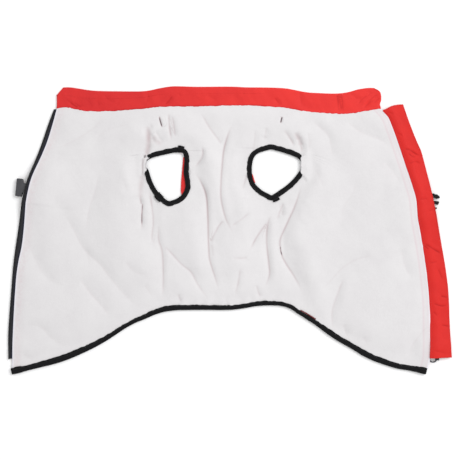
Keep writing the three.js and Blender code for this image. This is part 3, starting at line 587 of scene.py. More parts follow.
class Value:
    """A number in a material, which Python expressions work on."""

    def __init__(self, shader: "Shader", socket: bpy.types.NodeSocket) -> None:
        """Wraps one output socket."""
        self.shader = shader
        self.socket = socket

    def _with(self, operation: str, *others: "Value | float") -> "Value":
        """The result of a Math node on this value and others."""
        inputs = {0: self}
        inputs.update({k + 1: other for k, other in enumerate(others)})
        return self.shader.value("ShaderNodeMath", {"operation": operation}, inputs)

    def _swapped(self, operation: str, other: float) -> "Value":
        """The result of a Math node on another number and this value."""
        return self.shader.value("ShaderNodeMath", {"operation": operation}, {0: other, 1: self})

    def __add__(self, other: "Value | float") -> "Value":
        """Sum."""
        return self._with("ADD", other)

    __radd__ = __add__

    def __sub__(self, other: "Value | float") -> "Value":
        """Difference."""
        return self._with("SUBTRACT", other)

    def __rsub__(self, other: float) -> "Value":
        """Difference, the other way round."""
        return self._swapped("SUBTRACT", other)

    def __mul__(self, other: "Value | float") -> "Value":
        """Product."""
        return self._with("MULTIPLY", other)

    __rmul__ = __mul__

    def sine(self) -> "Value":
        """Its sine."""
        return self._with("SINE")

    def wave(self, pitch: float) -> "Value":
        """A wave along the value, from 0 to 1."""
        return (self * (2 * math.pi / pitch)).sine() * 0.5 + 0.5

    def clamped(self) -> "Value":
        """The value held between 0 and 1."""
        return self._with("MAXIMUM", 0.0)._with("MINIMUM", 1.0)

    def bell(self, width: float) -> "Value":
        """1 where the value is 0, falling off on both sides over that width."""
        ratio = self * (1 / width)
        return self.shader.value("ShaderNodeMath", {"operation": "EXPONENT"}, {0: ratio * ratio * -1.0})


class Shader:
    """A material round one Principled shader, with its nodes made by a few methods."""

    def __init__(self, name: str, constants: dict[str, Any]) -> None:
        """Starts a material whose even settings are set on the shader's own sockets."""
        self.material = bpy.data.materials.new(name)
        self.material.use_nodes = True
        self.nodes = self.material.node_tree.nodes
        self.links = self.material.node_tree.links
        self.nodes.clear()
        self.surface = self.nodes.new("ShaderNodeBsdfPrincipled")
        output = self.nodes.new("ShaderNodeOutputMaterial")
        self.links.new(self.surface.outputs["BSDF"], output.inputs["Surface"])
        for socket, number in constants.items():
            self.surface.inputs[socket].default_value = number

    def node(self, kind: str, settings: dict[str, Any], sockets: dict[Any, Any]) -> bpy.types.Node:
        """A new node.

        Args:
            kind: its type.
            settings: its own settings, such as a Math node's operation.
            sockets: values or links of its inputs, by name or number.

        Returns:
            The node.
        """
        made = self.nodes.new(kind)
        for key, setting in settings.items():
            setattr(made, key, setting)
        for key, value in sockets.items():
            source = value.socket if isinstance(value, Value) else value
            if isinstance(source, bpy.types.NodeSocket):
                self.links.new(source, made.inputs[key])
            else:
                made.inputs[key].default_value = source
        return made

    def value(self, kind: str, settings: dict[str, Any], sockets: dict[Any, Any], output: Any = 0) -> Value:
        """A new node's output as a value."""
        return Value(self, self.node(kind, settings, sockets).outputs[output])

    def places(self) -> bpy.types.NodeSocket:
        """Places in the object's own frame, in metres."""
        return self.node("ShaderNodeTexCoord", {}, {}).outputs["Object"]

    def axis(self, number: int) -> Value:
        """One coordinate of the places, in metres."""
        return self.value("ShaderNodeSeparateXYZ", {}, {0: self.places()}, number)

    def weave(self, pitch: float, warp: float = 1.0) -> Value:
        """Threads over and under each other, from 0 to 1.

        Args:
            pitch: the weft's pitch in metres.
            warp: how many of its turns the warp makes in one of the weft's.

        Returns:
            How high the threads lie.
        """
        turn = 2 * math.pi / pitch
        return (self.axis(0) * (turn * warp)).sine() * (self.axis(1) * turn).sine() * 0.5 + 0.5

    def cloth(self) -> tuple[Value, Value]:
        """The two distances of a place on the cloth, in metres."""
        uv = self.node("ShaderNodeUVMap", {"uv_map": "cloth"}, {}).outputs[0]
        split = self.node("ShaderNodeSeparateXYZ", {}, {0: uv})
        return Value(self, split.outputs[0]), Value(self, split.outputs[1])

    def attribute(self, name: str) -> Value:
        """A number stored on the piece."""
        return self.value("ShaderNodeAttribute", {"attribute_name": name}, {}, "Fac")

    def noise(self, size: float, detail: float = 2.0, seed: float = 0.0) -> Value:
        """Noise from 0 to 1 whose patches are about that many metres."""
        shift = (seed, seed * 0.7, seed * 0.3)
        moved = self.node("ShaderNodeVectorMath", {"operation": "ADD"}, {0: self.places(), 1: shift})
        sockets = {"Vector": moved.outputs[0], "Scale": 1 / size, "Detail": detail}
        return self.value("ShaderNodeTexNoise", {}, sockets, "Fac")

    def blend(self, share: Value | float, a: Any, b: Any) -> bpy.types.NodeSocket:
        """The colour that lies a share of the way from a to b."""
        settings = {"data_type": "RGBA", "clamp_factor": True}
        return self.node("ShaderNodeMix", settings, {0: share, 6: a, 7: b}).outputs[2]

    def colour(self, source: bpy.types.NodeSocket) -> None:
        """Links the base colour."""
        self.links.new(source, self.surface.inputs["Base Color"])

    def roughness(self, value: Value) -> None:
        """Links a varying roughness."""
        self.links.new(value.socket, self.surface.inputs["Roughness"])

    def bump(self, height: Value, depth: float, strength: float = 1.0) -> None:
        """Gives the surface a relief whose full height is depth metres."""
        sockets = {"Height": height, "Distance": depth, "Strength": strength}
        made = self.node("ShaderNodeBump", {}, sockets)
        self.links.new(made.outputs[0], self.surface.inputs["Normal"])


def shade(red: int, green: int, blue: int) -> tuple[float, float, float, float]:
    """A colour given as it looks in the studio's light, from 0 to 255, in linear values."""

    def linear(level: int) -> float:
        """One channel."""
        c = level / 255
        return (c / 12.92 if c <= 0.04045 else ((c + 0.055) / 1.055) ** 2.4) / LIGHT_LEVEL

    return (linear(red), linear(green), linear(blue), 1.0)


@dataclass(frozen=True)
class Fleece:
    """Short white pile: nap and faint mottling, with painted shade in its creases, painted light along its
    middle, a painted highlight along its zip edges, a mottled pinkish band along its left edge and painted
    shade of stitched grooves along its right edge.
    """

    pile: tuple = shade(226, 224, 225)
    # Painted light: the lighter tone that the middle of the coat takes
    lit_middle: tuple = shade(238, 236, 237)
    shadow: tuple = shade(219, 216, 218)
    # Painted shade in the creases, and painted shadow in the deepest of them
    crease: tuple = shade(196, 180, 182)
    deep_crease_shadow: tuple = shade(84, 78, 84)
    # Painted highlight along the zip edges
    strip: tuple = shade(234, 232, 240)
    # A pinkish tone for a mottled band along the left edge, and painted shade of the stitched grooves along
    # the right edge
    pink_band_and_shade: tuple = shade(222, 203, 208)
    nap: float = 0.0011
    line: float = 1.8
    lit_middle_half: float = 0.16

    def material(self) -> bpy.types.Material:
        """Builds the material."""
        s = Shader("fleece", {"Roughness": 0.95, "Sheen Weight": 0.15, "Specular IOR Level": 0.1})
        mottle = s.noise(0.03, 3.0, 1.0)
        nap = s.noise(self.nap, 3.0, 2.0)
        clumps = s.noise(0.0035, 2.0, 4.0)
        base = s.blend(((mottle - 0.35) * 1.2 + (clumps - 0.5) * 0.7).clamped(), self.pile, self.shadow)
        # Painted light: the pile is lighter along the coat's middle
        base = s.blend((s.axis(0) - 0.01).bell(self.lit_middle_half) * 0.22, base, self.lit_middle)
        left, right = s.attribute("left_edge"), s.attribute("right_edge")
        # A mottled pinkish band along the left edge
        left_pink_band = (left - 8.0).bell(7.0) * (0.22 + (clumps - 0.5) * 1.1).clamped()
        # Painted shade: pinkish lines and a faint band where stitched grooves run along the right edge
        rows = (right - 4.0).bell(1.3) * 0.3 + (right - 12.5).bell(1.8) * 0.5
        rows = rows + (right - 8.0).bell(4.0) * 0.15
        edged = s.blend((left_pink_band + rows).clamped(), base, self.pink_band_and_shade)
        # Painted highlight: a lighter strip along both zip edges
        edged = s.blend(((left - 0.5).bell(1.8) + (right - 0.5).bell(1.8)).clamped(), edged, self.strip)
        # Painted shade along each crease's line, deepening to painted shadow where the line is strongest
        crease_shade_mask = s.attribute("crease_side").bell(self.line) * s.attribute("crease_shade")
        creased = s.blend(crease_shade_mask.clamped(), edged, self.crease)
        s.colour(s.blend((crease_shade_mask - 1.0).clamped(), creased, self.deep_crease_shadow))
        s.bump(nap * 0.6 + clumps * 0.4 - crease_shade_mask.clamped() * 0.8, 0.0008, 0.6)
        return s.material


@dataclass(frozen=True)
class Nylon:
    """Red woven nylon: fine threads across each other, a soft sheen, painted shade in its creases and
    painted light that makes it paler toward the right.
    """

    name: str = "nylon"
    light: tuple = shade(238, 58, 53)
    dark: tuple = shade(205, 43, 46)
    # Painted shade in the creases and along turned edges
    crease: tuple = shade(176, 22, 26)
    pitch: float = 0.0007
    line: float = 1.3

    def material(self) -> bpy.types.Material:
        """Builds the material."""
        s = Shader(self.name, {"Specular IOR Level": 0.14})
        weave = s.weave(self.pitch)
        drift = s.noise(0.03, 3.0, 3.0)
        # Painted shade along each crease's line and along turned edges
        crease_shade_mask = (s.attribute("crease_side").bell(self.line) * s.attribute("crease_shade")).clamped()
        # Painted light: the cloth grows paler toward the right, nearer the key lamp
        lit_from_right = (s.axis(0) * 4.0 + 0.7).clamped()
        cloth = s.blend((drift * 0.6 + weave * 0.2 + lit_from_right * 0.45 - 0.1).clamped(), self.dark, self.light)
        s.colour(s.blend(crease_shade_mask, cloth, self.crease))
        s.roughness(0.5 + drift * 0.12)
        puckers = s.noise(0.011, 2.0, 8.0) * 0.75 + s.noise(0.004, 2.0, 8.5) * 0.15
        s.bump(puckers + weave * 0.1 - crease_shade_mask * 0.3, 0.0007, 0.7)
        return s.material


@dataclass(frozen=True)
class RibbedTape:
    """Black tape with ribs across it."""

    name: str = "binding_tape"
    light: tuple = shade(25, 25, 27)
    dark: tuple = shade(9, 9, 11)
    pitch: float = 0.0011

    def material(self) -> bpy.types.Material:
        """Builds the material."""
        s = Shader(self.name, {"Sheen Weight": 0.08, "Specular IOR Level": 0.12})
        along, across = s.cloth()
        rib, thread = along.wave(self.pitch), across.wave(self.pitch * 0.45)
        drift = s.noise(0.006, 3.0, 5.0)
        s.colour(s.blend((rib * 0.4 + drift * 0.6).clamped(), self.dark, self.light))
        s.roughness(0.78 + drift * 0.15)
        s.bump(rib * 0.7 + thread * 0.3, 0.0002, 0.8)
        return s.material


@dataclass(frozen=True)
class ZipTape:
    """Dark woven zip tape with a navy edge thread along the lining."""

    middle: tuple = shade(52, 52, 56)
    dark: tuple = shade(30, 31, 36)
    navy: tuple = shade(28, 32, 58)
    pitch: float = 0.0009

    def material(self) -> bpy.types.Material:
        """Builds the material."""
        s = Shader("zip_tape", {"Sheen Weight": 0.15, "Specular IOR Level": 0.25})
        along, across = s.cloth()
        weave = ((along + across).wave(self.pitch) + (along - across).wave(self.pitch)) * 0.5
        inner = s.attribute("inner").clamped()
        body = s.blend(weave, self.dark, self.middle)
        s.colour(s.blend(inner, body, self.navy))
        s.roughness(0.8 + weave * 0.1)
        s.bump(weave, 0.00018, 0.8)
        return s.material


@dataclass(frozen=True)
class Webbing:
    """Black webbing woven of broad yarns."""

    light: tuple = shade(46, 46, 48)
    dark: tuple = shade(18, 18, 20)
    pitch: float = 0.0022

    def material(self) -> bpy.types.Material:
        """Builds the material."""
        s = Shader("webbing", {"Sheen Weight": 0.2, "Specular IOR Level": 0.25})
        weave = s.weave(self.pitch, 0.6).clamped()
        s.colour(s.blend(weave, self.dark, self.light))
        s.roughness(0.75 + weave * 0.15)
        s.bump(weave, 0.0003, 0.9)
        return s.material


@dataclass(frozen=True)
class Moulded:
    """Moulded plastic with a fine grain and handling marks."""

    name: str
    light: tuple
    dark: tuple
    rough: float = 0.42
    shine: float = 0.45

    def material(self) -> bpy.types.Material:
        """Builds the material."""
        s = Shader(self.name, {"Specular IOR Level": self.shine})
        drift = s.noise(0.005, 3.0, 6.0)
        grain = s.noise(0.0004, 2.0, 7.0)
        s.colour(s.blend((drift * 1.4 - 0.2).clamped(), self.dark, self.light))
        s.roughness(self.rough + drift * 0.15 + grain * 0.08)
        s.bump(grain, 0.00004, 0.5)
        return s.material


@dataclass(frozen=True)
class Gunmetal:
    """Plated metal, darker where it is handled least."""

    light: tuple = shade(84, 90, 98)
    dark: tuple = shade(42, 47, 54)

    def material(self) -> bpy.types.Material:
        """Builds the material."""
        s = Shader("gunmetal", {"Metallic": 0.9})
        drift = s.noise(0.003, 3.0, 9.0)
        s.colour(s.blend(drift, self.dark, self.light))
        s.roughness(0.24 + drift * 0.18)
        s.bump(s.noise(0.0006, 2.0, 10.0), 0.00003, 0.4)
        return s.material


@dataclass(frozen=True)
class Thread:
    """Sewing thread with its twist."""

    name: str
    light: tuple
    dark: tuple

    def material(self) -> bpy.types.Material:
        """Builds the material."""
        s = Shader(self.name, {"Sheen Weight": 0.2, "Specular IOR Level": 0.3})
        twist = s.noise(0.0005, 1.0, 11.0)
        s.colour(s.blend(twist, self.dark, self.light))
        s.roughness(0.6 + twist * 0.15)
        s.bump(twist, 0.00008, 0.6)
        return s.material


@dataclass(frozen=True)
class PaleTable:
    """The plain pale surface that the coat lies on."""

    light: tuple = (0.95, 0.95, 0.95, 1.0)
    dark: tuple = (0.93, 0.93, 0.935, 1.0)

    def material(self) -> bpy.types.Material:
        """Builds the material."""
        s = Shader("pale_table", {"Specular IOR Level": 0.1})
        drift = s.noise(0.5, 2.0, 12.0)
        s.colour(s.blend(drift, self.dark, self.light))
        s.roughness(0.85 + drift * 0.1)
        return s.material


class Wardrobe:
    """All finishes, each made once."""

    def __init__(self) -> None:
        """Builds the materials."""
        self.fleece = Fleece().material()
        self.nylon = Nylon().material()
        # The placket takes a darker copy of the red nylon: painted shade
        placket_shade_tones = (shade(223, 46, 41), shade(197, 32, 31), shade(164, 16, 18))
        self.doubled = Nylon("placket_nylon_shaded", *placket_shade_tones).material()
        self.binding = RibbedTape().material()
        self.zip_tape = ZipTape().material()
        self.webbing = Webbing().material()
        self.coil = Moulded("zip_plastic", shade(38, 38, 41), shade(22, 22, 25), 0.35).material()
        self.grey = Moulded("buckle_grey", shade(70, 70, 74), shade(56, 56, 60)).material()
        self.black = Moulded("buckle_black", shade(15, 15, 17), shade(8, 8, 10), 0.5, 0.2).material()
        self.metal = Gunmetal().material()
        self.red_thread = Thread("red_thread", shade(220, 42, 40), shade(198, 30, 32)).material()
        # A much darker red for the nylon edge beside the hem's tape: painted shade
        self.shaded_red_edge = Thread("shaded_red_edge_finish", shade(128, 22, 28), shade(96, 14, 20)).material()
        self.black_thread = Thread("black_thread", shade(40, 40, 42), shade(20, 20, 22)).material()
        self.table = PaleTable().material()


@dataclass
class Workshop:
    """What every sub-assembly works with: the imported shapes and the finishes."""

    frame: dict[str, Any]
    finishes: Wardrobe
    shapes: dict[str, PackedShape] = field(default_factory=dict)

    def shape(self, name: str) -> PackedShape:
        """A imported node, read once."""
        if name not in self.shapes:
            self.shapes[name] = PackedShape(self.frame["nodes"][name])
        return self.shapes[name]

    def finish(
        self,
        piece: bpy.types.Object,
        material: bpy.types.Material,
        slot: Slot,
        nodes: Sequence[str] = (),
        body: Body = Body.COAT,
    ) -> None:
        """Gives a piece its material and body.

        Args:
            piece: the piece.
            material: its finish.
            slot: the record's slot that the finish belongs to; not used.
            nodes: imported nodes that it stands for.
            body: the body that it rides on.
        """
        piece.data.materials.clear()
        piece.data.materials.append(material)
        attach(piece, body.value)
        if nodes:
            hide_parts(*nodes)
        LOG.info("%s: %d corners", piece.name, len(piece.data.vertices))


# Creases


@dataclass(frozen=True)
class Crease:
    """A crease pressed into cloth.

    The path is in millimetres. half is half its trough's width, and depth is its trough's depth.
    line says how strongly its own thin line of painted shade shows, and fine how many times
    narrower than usual that line is. lean is how far the cloth on its left side stands up over it.
    """

    path: tuple[tuple[float, float], ...]
    half: float = 4.0
    depth: float = 1.2
    line: float = 0.5
    lean: float = 0.4
    fine: float = 1.0


def press(top: np.ndarray, creases: Sequence[Crease], room: float = 6.0) -> tuple[np.ndarray, np.ndarray]:
    """Presses creases into a cloth.

    Args:
        top: the grid of its upper face, whose heights change.
        creases: the creases.
        room: how far beside a crease its own thin line of painted shade is still looked for, in mm.

    Returns:
        The signed distance from the nearest crease in mm, and how strongly its line of painted shade shows.
    """
    x, y, z = parts(top)
    far = 9.0
    near_side = np.full(x.shape, far)
    near_line = np.zeros(x.shape)
    for k, crease in enumerate(creases):
        path = np.array(crease.path, dtype=float)
        reach = 4 * crease.half
        low, high = path.min(axis=0) - reach, path.max(axis=0) + reach
        at = np.nonzero((x > low[0]) & (x < high[0]) & (y > low[1]) & (y < high[1]))
        if not at[0].size:
            continue
        near = beside(upsample(path, 6), x[at], y[at])
        ends = smooth(near.along / FADE_IN) * smooth((1 - near.along) / FADE_OUT)
        uneven = 1 + UNEVEN * soft_noise(near.along * 60, near.along * 0, 11.0, k)
        trough = np.exp(-((near.distance / crease.half) ** 2))
        thin = np.exp(-((near.distance / (crease.half * THIN_HALF)) ** 2))
        ridge = np.exp(-(((near.side - RIDGE_AT * crease.half) / (RIDGE_HALF * crease.half)) ** 2))
        away = np.exp(-((near.distance / (RIDGE_REACH * crease.half)) ** 2))
        height = -crease.depth * (BROAD * trough + THIN * thin)
        height += crease.lean * crease.depth * ridge * away
        z[at] += height * ends * uneven
        fall = np.exp(-((near.distance / room) ** 2))
        strength = crease.line * ends * np.clip(uneven, 0.6, 1.2) * fall
        stronger = strength > near_line[at]
        near_line[at] = np.where(stronger, strength, near_line[at])
        near_side[at] = np.where(stronger, np.clip(near.side * crease.fine, -far, far), near_side[at])
    return near_side, near_line


def shaded_edge(side: np.ndarray, line: np.ndarray, away: np.ndarray, strength: float) -> None:
    """Paints a line of shade where a doubled cloth turns under.

    Args:
        side: the signed distances that press gives, changed in place.
        line: how strongly lines show, changed in place.
        away: each place's distance from the edge in mm.
        strength: how strongly the painted shade shows.
    """
    near = strength * np.exp(-((away / 3) ** 2))
    stronger = near > line
    line[stronger] = near[stronger]
    side[stronger] = np.broadcast_to(away, side.shape)[stronger]


CHEST_CREASES = (
    Crease(((-127.5, 206), (-125, 196), (-121.5, 184)), 2.4, 1.8, 2.10, 0.2, 1.7),
    Crease(((-110, 212), (-109, 190), (-105, 160)), 5.2, 2.30, 0.52, 0.3),
    Crease(((-148, 190), (-146, 166), (-148, 146), (-154, 128)), 6.0, 0.3, 0.75, 0.0, 0.3),
    Crease(((-156, 112), (-159, 90), (-161, 66), (-160, 30)), 6.0, 0.3, 0.40, 0.0, 0.3),
    Crease(((-41, 60), (-37, 20), (-36, -20), (-30, -66)), 6.0, 0.3, 0.32, 0.0, 0.3),
    Crease(((-12, 110), (-13, 60), (-6, 22)), 6.0, 0.3, 0.22, 0.0, 0.3),
    Crease(((116, 178), (125, 163), (130, 146)), 6.0, 0.3, 0.45, 0.0, 0.3),
    Crease(((-140, 172), (-132, 160), (-120, 156)), 6.0, 0.3, 0.30, 0.0, 0.3),
    Crease(((100, 10), (91, -14), (92, -36), (102, -58)), 6.0, 0.3, 0.25, 0.0, 0.3),
    Crease(
        ((-150, 194), (-146, 170), (-147, 150), (-153, 134), (-157, 118), (-157, 98), (-161, 74)),
        7.0, 2.60, 0.32, 0.4,
    ),
    Crease(((-163, 69), (-159, 40), (-158, -3)), 6.8, 2.59, 0.51, 0.5),
    Crease(((-145, 75), (-138, 22), (-140, -14), (-132, -28)), 6.0, 2.14, 0.44, -0.5),
    Crease(((-129, 17), (-128, -17), (-122, -37), (-120, -75), (-121, -129)), 5.2, 2.02, 0.41, 0.3),
    Crease(
        ((-125, -23), (-111, -35), (-88, -60), (-70, -75), (-56, -100), (-36, -127)),
        5.2, 1.73, 0.34, -0.4,
    ),
    Crease(((-49, 152), (-50, 132), (-65, 111)), 5.2, 1.73, 0.38, 0.3),
    Crease(
        (
            (-66, 109), (-53, 89), (-43, 64), (-40, 31), (-39, -6),
            (-38, -35), (-36, -54), (-28, -80), (-22, -100), (-20, -114),
        ),
        5.4, 2.0, 0.75, 0.5,
    ),
    Crease(((-53, 213), (-36, 184), (-19, 161), (-10, 145)), 5.2, 1.73, 0.38, -0.4),
    Crease(
        ((5, 193), (-4, 170), (-11, 145), (-14, 116), (-16, 87), (-16, 58), (-9, 26), (0, 6), (8, -8)),
        5.2, 2.0, 0.72, 0.4,
    ),
    Crease(((-9, 22), (-21, 6), (-33, -17), (-37, -32)), 6.0, 2.02, 0.41, -0.5),
    Crease(((0, 6), (22, 21), (39, 35)), 6.8, 1.15, 0.21, 0.3),
    Crease(((30, 102), (27, 88), (22, 73)), 5.2, 1.15, 0.27, 0.3),
    Crease(((94, 205), (92.5, 199), (91, 192)), 2.4, 1.8, 2.10, 0.2, 1.7),
    Crease(((97, 181), (108, 166), (117, 150)), 6.0, 1.73, 0.34, 0.5),
    Crease(((123, 170), (127, 158), (130, 145)), 6.0, 1.44, 0.30, 0.3),
    Crease(
        (
            (131, 87), (117, 44), (104, 15), (92, -12), (90, -24),
            (92, -41), (101, -60), (114, -80), (125, -100), (133, -118),
        ),
        5.2, 2.1, 0.6, -0.5,
    ),
    Crease(((97, 51), (89, 31), (85, 17)), 6.0, 1.73, 0.34, 0.4),
    Crease(((78, 31), (69, 15), (66, -17), (70, -60), (71, -80), (62, -107)), 6.8, 2.88, 0.58, 0.6),
    Crease(((72, 20), (58, 2), (46, -16), (36, -36)), 6.0, 2.02, 0.50, 0.4),
    Crease(((33, -49), (18, -50), (4, -49)), 6.0, 0.99, 0.21, 0.2),
    Crease(((19, -66), (15, -93), (9, -118)), 6.0, 1.31, 0.30, 0.4),
    Crease(((48, -98), (51, -110), (56, -122)), 5.2, 1.31, 0.30, 0.3),
    Crease(((-143, 176), (-139, 165), (-134, 155)), 6.5, 2.40, 0.15, 0.4),
    Crease(((-134, 180), (-128, 168), (-119, 155)), 6.5, 2.24, 0.12, -0.4),
    Crease(((-159, 180), (-148, 185), (-137, 189)), 7.8, 1.44, 0.08, 0.3),
    Crease(((-104, 208), (-101, 190), (-98, 166)), 5.2, 2.11, 0.44, 0.3),
    Crease(((114, 178), (123, 165), (129, 148), (127, 136)), 7.2, 2.5, 0.44, 0.4),
    Crease(((140, 178), (143, 160), (143, 142)), 8.5, 0.8, 0.10, 0.3),
    Crease(((46, 182), (44, 157), (40, 136)), 7.5, 1.34, 0.16, 0.3),
    Crease(((66, 186), (64, 172), (62, 160)), 7.5, 1.34, 0.16, 0.3),
    Crease(((89, 48), (93, 36), (96, 24)), 5.2, 1.73, 0.28, 0.3),
    Crease(((90.6, -27), (91.5, -37), (94.5, -47)), 2.2, 0.9, 1.70, 0.3, 1.7),
    Crease(((-157, 52), (-158.5, 28), (-158.5, 4)), 2.2, 0.7, 1.40, 0.3, 1.7),
    Crease(((-72, 112), (-76, 98), (-73, 84)), 5.2, 1.34, 0.20, 0.3),
    Crease(((-93, -114), (-91, -121), (-88, -129)), 5.2, 1.15, 0.27, 0.3),
)

FLANK_CREASES = (
    Crease(((-227, 202), (-255, 177), (-291, 156), (-320, 145)), 8.3, 1.50, 0.09, 0.5),
    Crease(((-183, 192), (-227, 177), (-245, 152)), 10.4, 0.90, 0.05, 0.4),
    Crease(((-234, 112), (-241, 76), (-254, 33), (-259, -6)), 9.4, 1.40, 0.08, -0.5),
    Crease(
        (
            (-306, 37), (-288, 15), (-270, -21), (-255, -42),
            (-234, -60), (-212, -89), (-183, -122), (-158, -143),
        ),
        10.4, 1.8, 0.12, 0.5,
    ),
    Crease(((-259, -32), (-256, -48), (-252, -64)), 8.3, 1.00, 0.07, 0.3),
    Crease(((-367, -10), (-349, -53), (-327, -86), (-295, -100)), 14.6, 1.50, 0.05, 0.5),
    Crease(((-273, -82), (-252, -111), (-227, -140), (-212, -161)), 8.3, 1.40, 0.09, -0.4),
    Crease(((-378, -168), (-342, -172), (-320, -194), (-288, -212)), 10.4, 1.10, 0.07, 0.4),
    Crease(((-191, -53), (-169, -75), (-147, -78)), 9.4, 1.00, 0.06, 0.4),
    Crease(((-155, -96), (-146, -108), (-137, -122)), 8.3, 0.90, 0.07, 0.3),
    Crease(((-374, -222), (-364, -228), (-353, -233)), 8.3, 0.80, 0.06, 0.3),
    Crease(((-192, 94), (-188, 82), (-183, 69)), 10.4, 0.80, 0.05, 0.3),
    Crease(((146, 199), (175, 174), (182, 152), (186, 127)), 9.4, 1.50, 0.09, 0.5),
    Crease(((207, 199), (236, 177), (272, 163), (290, 152)), 8.3, 1.40, 0.09, -0.4),
    Crease(((153, 112), (162, 93), (171, 73)), 11.5, 0.70, 0.05, 0.4),
    Crease(((229, 98), (222, 69), (204, 40), (200, 4)), 14.6, 1.40, 0.05, -0.5),
    Crease(((276, 127), (297, 102), (308, 80)), 10.4, 1.10, 0.06, 0.4),
    Crease(((262, -44), (228, -52), (200, -70), (178, -94), (160, -110)), 12.0, 2.1, 0.12, 0.5),
    Crease(((206, -84), (194, -114), (184, -147), (186, -180)), 9.0, 2.4, 0.26, 0.5),
    Crease(((204, -168), (208, -181), (211, -194)), 8.3, 1.10, 0.08, 0.3),
    Crease(((240, -190), (243, -197), (247, -204)), 8.3, 1.00, 0.07, 0.3),
    Crease(((355, -172), (330, -204), (322, -233)), 9.4, 1.40, 0.09, 0.5),
    Crease(((308, -28), (315, -64), (330, -89)), 10.4, 1.10, 0.06, 0.4),
)


@dataclass(frozen=True)
class Flap:
    """A stretch of a leg hole where the fleece bulges over the binding's outer side.

    outward is -1 where that side is the left one. The fleece reaches edge, between low and high. There
    it is raised to level, and held at least at held where it covers the tape. Slopes are how softly each
    of these comes and goes, and a fan is how much wider the stretch is, for each mm beyond the edge.
    """

    outward: int
    edge: float
    low: float
    high: float
    level: float = 7.3
    held: float = 6.9
    margin: float = 3.0
    slope: float = 11.0
    fan: float = 1.1
    fan_reach: float = 12.0
    cover_fan: float = 1.4
    cover_reach: float = 9.0
    cover_slope: float = 4.0
    raised_reach: float = 24.0
    raised_slope: float = 15.0
    edge_slope: float = 1.2
    pulled: float = 3.5
    pulled_reach: float = 6.0
    pulled_slope: float = 5.0

    def _beside(self, top: np.ndarray) -> tuple[np.ndarray, np.ndarray]:
        """How far places lie beyond the flap's edge, and how fully they lie level with it."""
        beyond = (top[..., 0] - self.edge) * self.outward
        fan = self.fan * np.clip(beyond, 0, self.fan_reach)
        above, below = top[..., 1] - self.low + fan, self.high + fan - top[..., 1]
        return beyond, smooth(above / self.slope + 1) * smooth(below / self.slope + 1)

    def hold(self, top: np.ndarray) -> None:
        """Keeps the pressed fleece over the tape that it covers."""
        beyond, window = self._beside(top)
        y = top[..., 1]
        fan = self.cover_fan * np.clip(beyond, 0, self.cover_reach)
        above = (y - self.low + fan) / self.cover_slope
        below = (self.high - self.margin - y) / self.cover_slope
        covered = smooth(above + 1) * smooth(below + 1)
        share = window * covered * smooth((self.cover_reach - beyond) / self.margin)
        top[..., 2] += share * np.maximum(self.held - top[..., 2], 0)

    def lift(self, top: np.ndarray) -> None:
        """Raises the fleece of a panel and brings its edge to the flap's."""
        x, y, z = parts(top)
        beyond, window = self._beside(top)
        near = smooth((self.raised_reach - beyond) / self.raised_slope)
        near = near * smooth(beyond / self.edge_slope + 1)
        z += window * near * np.maximum(self.level + 0.5 * soft_noise(x, y, 9.0, 71) - z, 0)
        above = (y - self.low + self.margin) / self.pulled_slope
        below = (self.high + self.margin - y) / self.pulled_slope
        tight = smooth(above + 1) * smooth(below + 1)
        shift = np.clip(beyond, 0, self.pulled) * tight
        x -= self.outward * shift * smooth((self.pulled_reach - beyond) / self.cover_slope)


@dataclass
class ClothPanel:
    """One panel of cloth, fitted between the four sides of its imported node."""

    node: str
    corners: Sequence[tuple[float, float]]
    rows: int
    columns: int
    breaks: tuple[int, ...] = ()
    passes: int = 24
    top: np.ndarray = field(init=False)

    def fit(self, shape: PackedShape) -> "ClothPanel":
        """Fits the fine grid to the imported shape.

        Args:
            shape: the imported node.

        Returns:
            Itself, with its top grid filled in.
        """
        sides = shape.sides(self.corners)
        left = self._fine(sides["left"], self.rows, self.breaks)
        right = self._fine(sides["right"], self.rows, self.breaks)
        upper = self._fine(sides["top"], self.columns, ())
        lower = self._fine(sides["bottom"], self.columns, ())
        left, right = matched(left, right)
        upper, lower = matched(upper, lower)
        v = np.linspace(0, 1, len(left))[:, None, None]
        u = np.linspace(0, 1, len(upper))[None, :, None]
        between = mix(left[:, None], right[:, None], u)
        ends = mix(upper[None], lower[None], v)
        corners = mix(mix(left[0], right[0], u), mix(left[-1], right[-1], u), v)
        flat = between + ends - corners
        x, y = flat[..., 0], flat[..., 1]
        heights = soften(shape.tops(x, y), self.passes)
        self.top = np.stack([x, y, heights], axis=-1)
        return self

    @staticmethod
    def _fine(side: np.ndarray, factor: int, breaks: tuple[int, ...]) -> np.ndarray:
        """A side's curve, cut at its sharp corners and smooth between them."""
        cuts = [0, *[b for b in breaks if b < len(side) - 1], len(side) - 1]
        spans = [upsample(side[a : b + 1, :2], factor) for a, b in zip(cuts, cuts[1:])]
        return np.vstack([spans[0]] + [span[1:] for span in spans[1:]])


def rim_share(shape: tuple[int, int], reach: int) -> np.ndarray:
    """A field that is 1 round a grid's rim and falls to 0 over some rows and columns."""
    i, j = np.meshgrid(np.arange(shape[0]), np.arange(shape[1]), indexing="ij")
    away = np.minimum(np.minimum(i, shape[0] - 1 - i), np.minimum(j, shape[1] - 1 - j))
    return smooth(1 - away / reach)


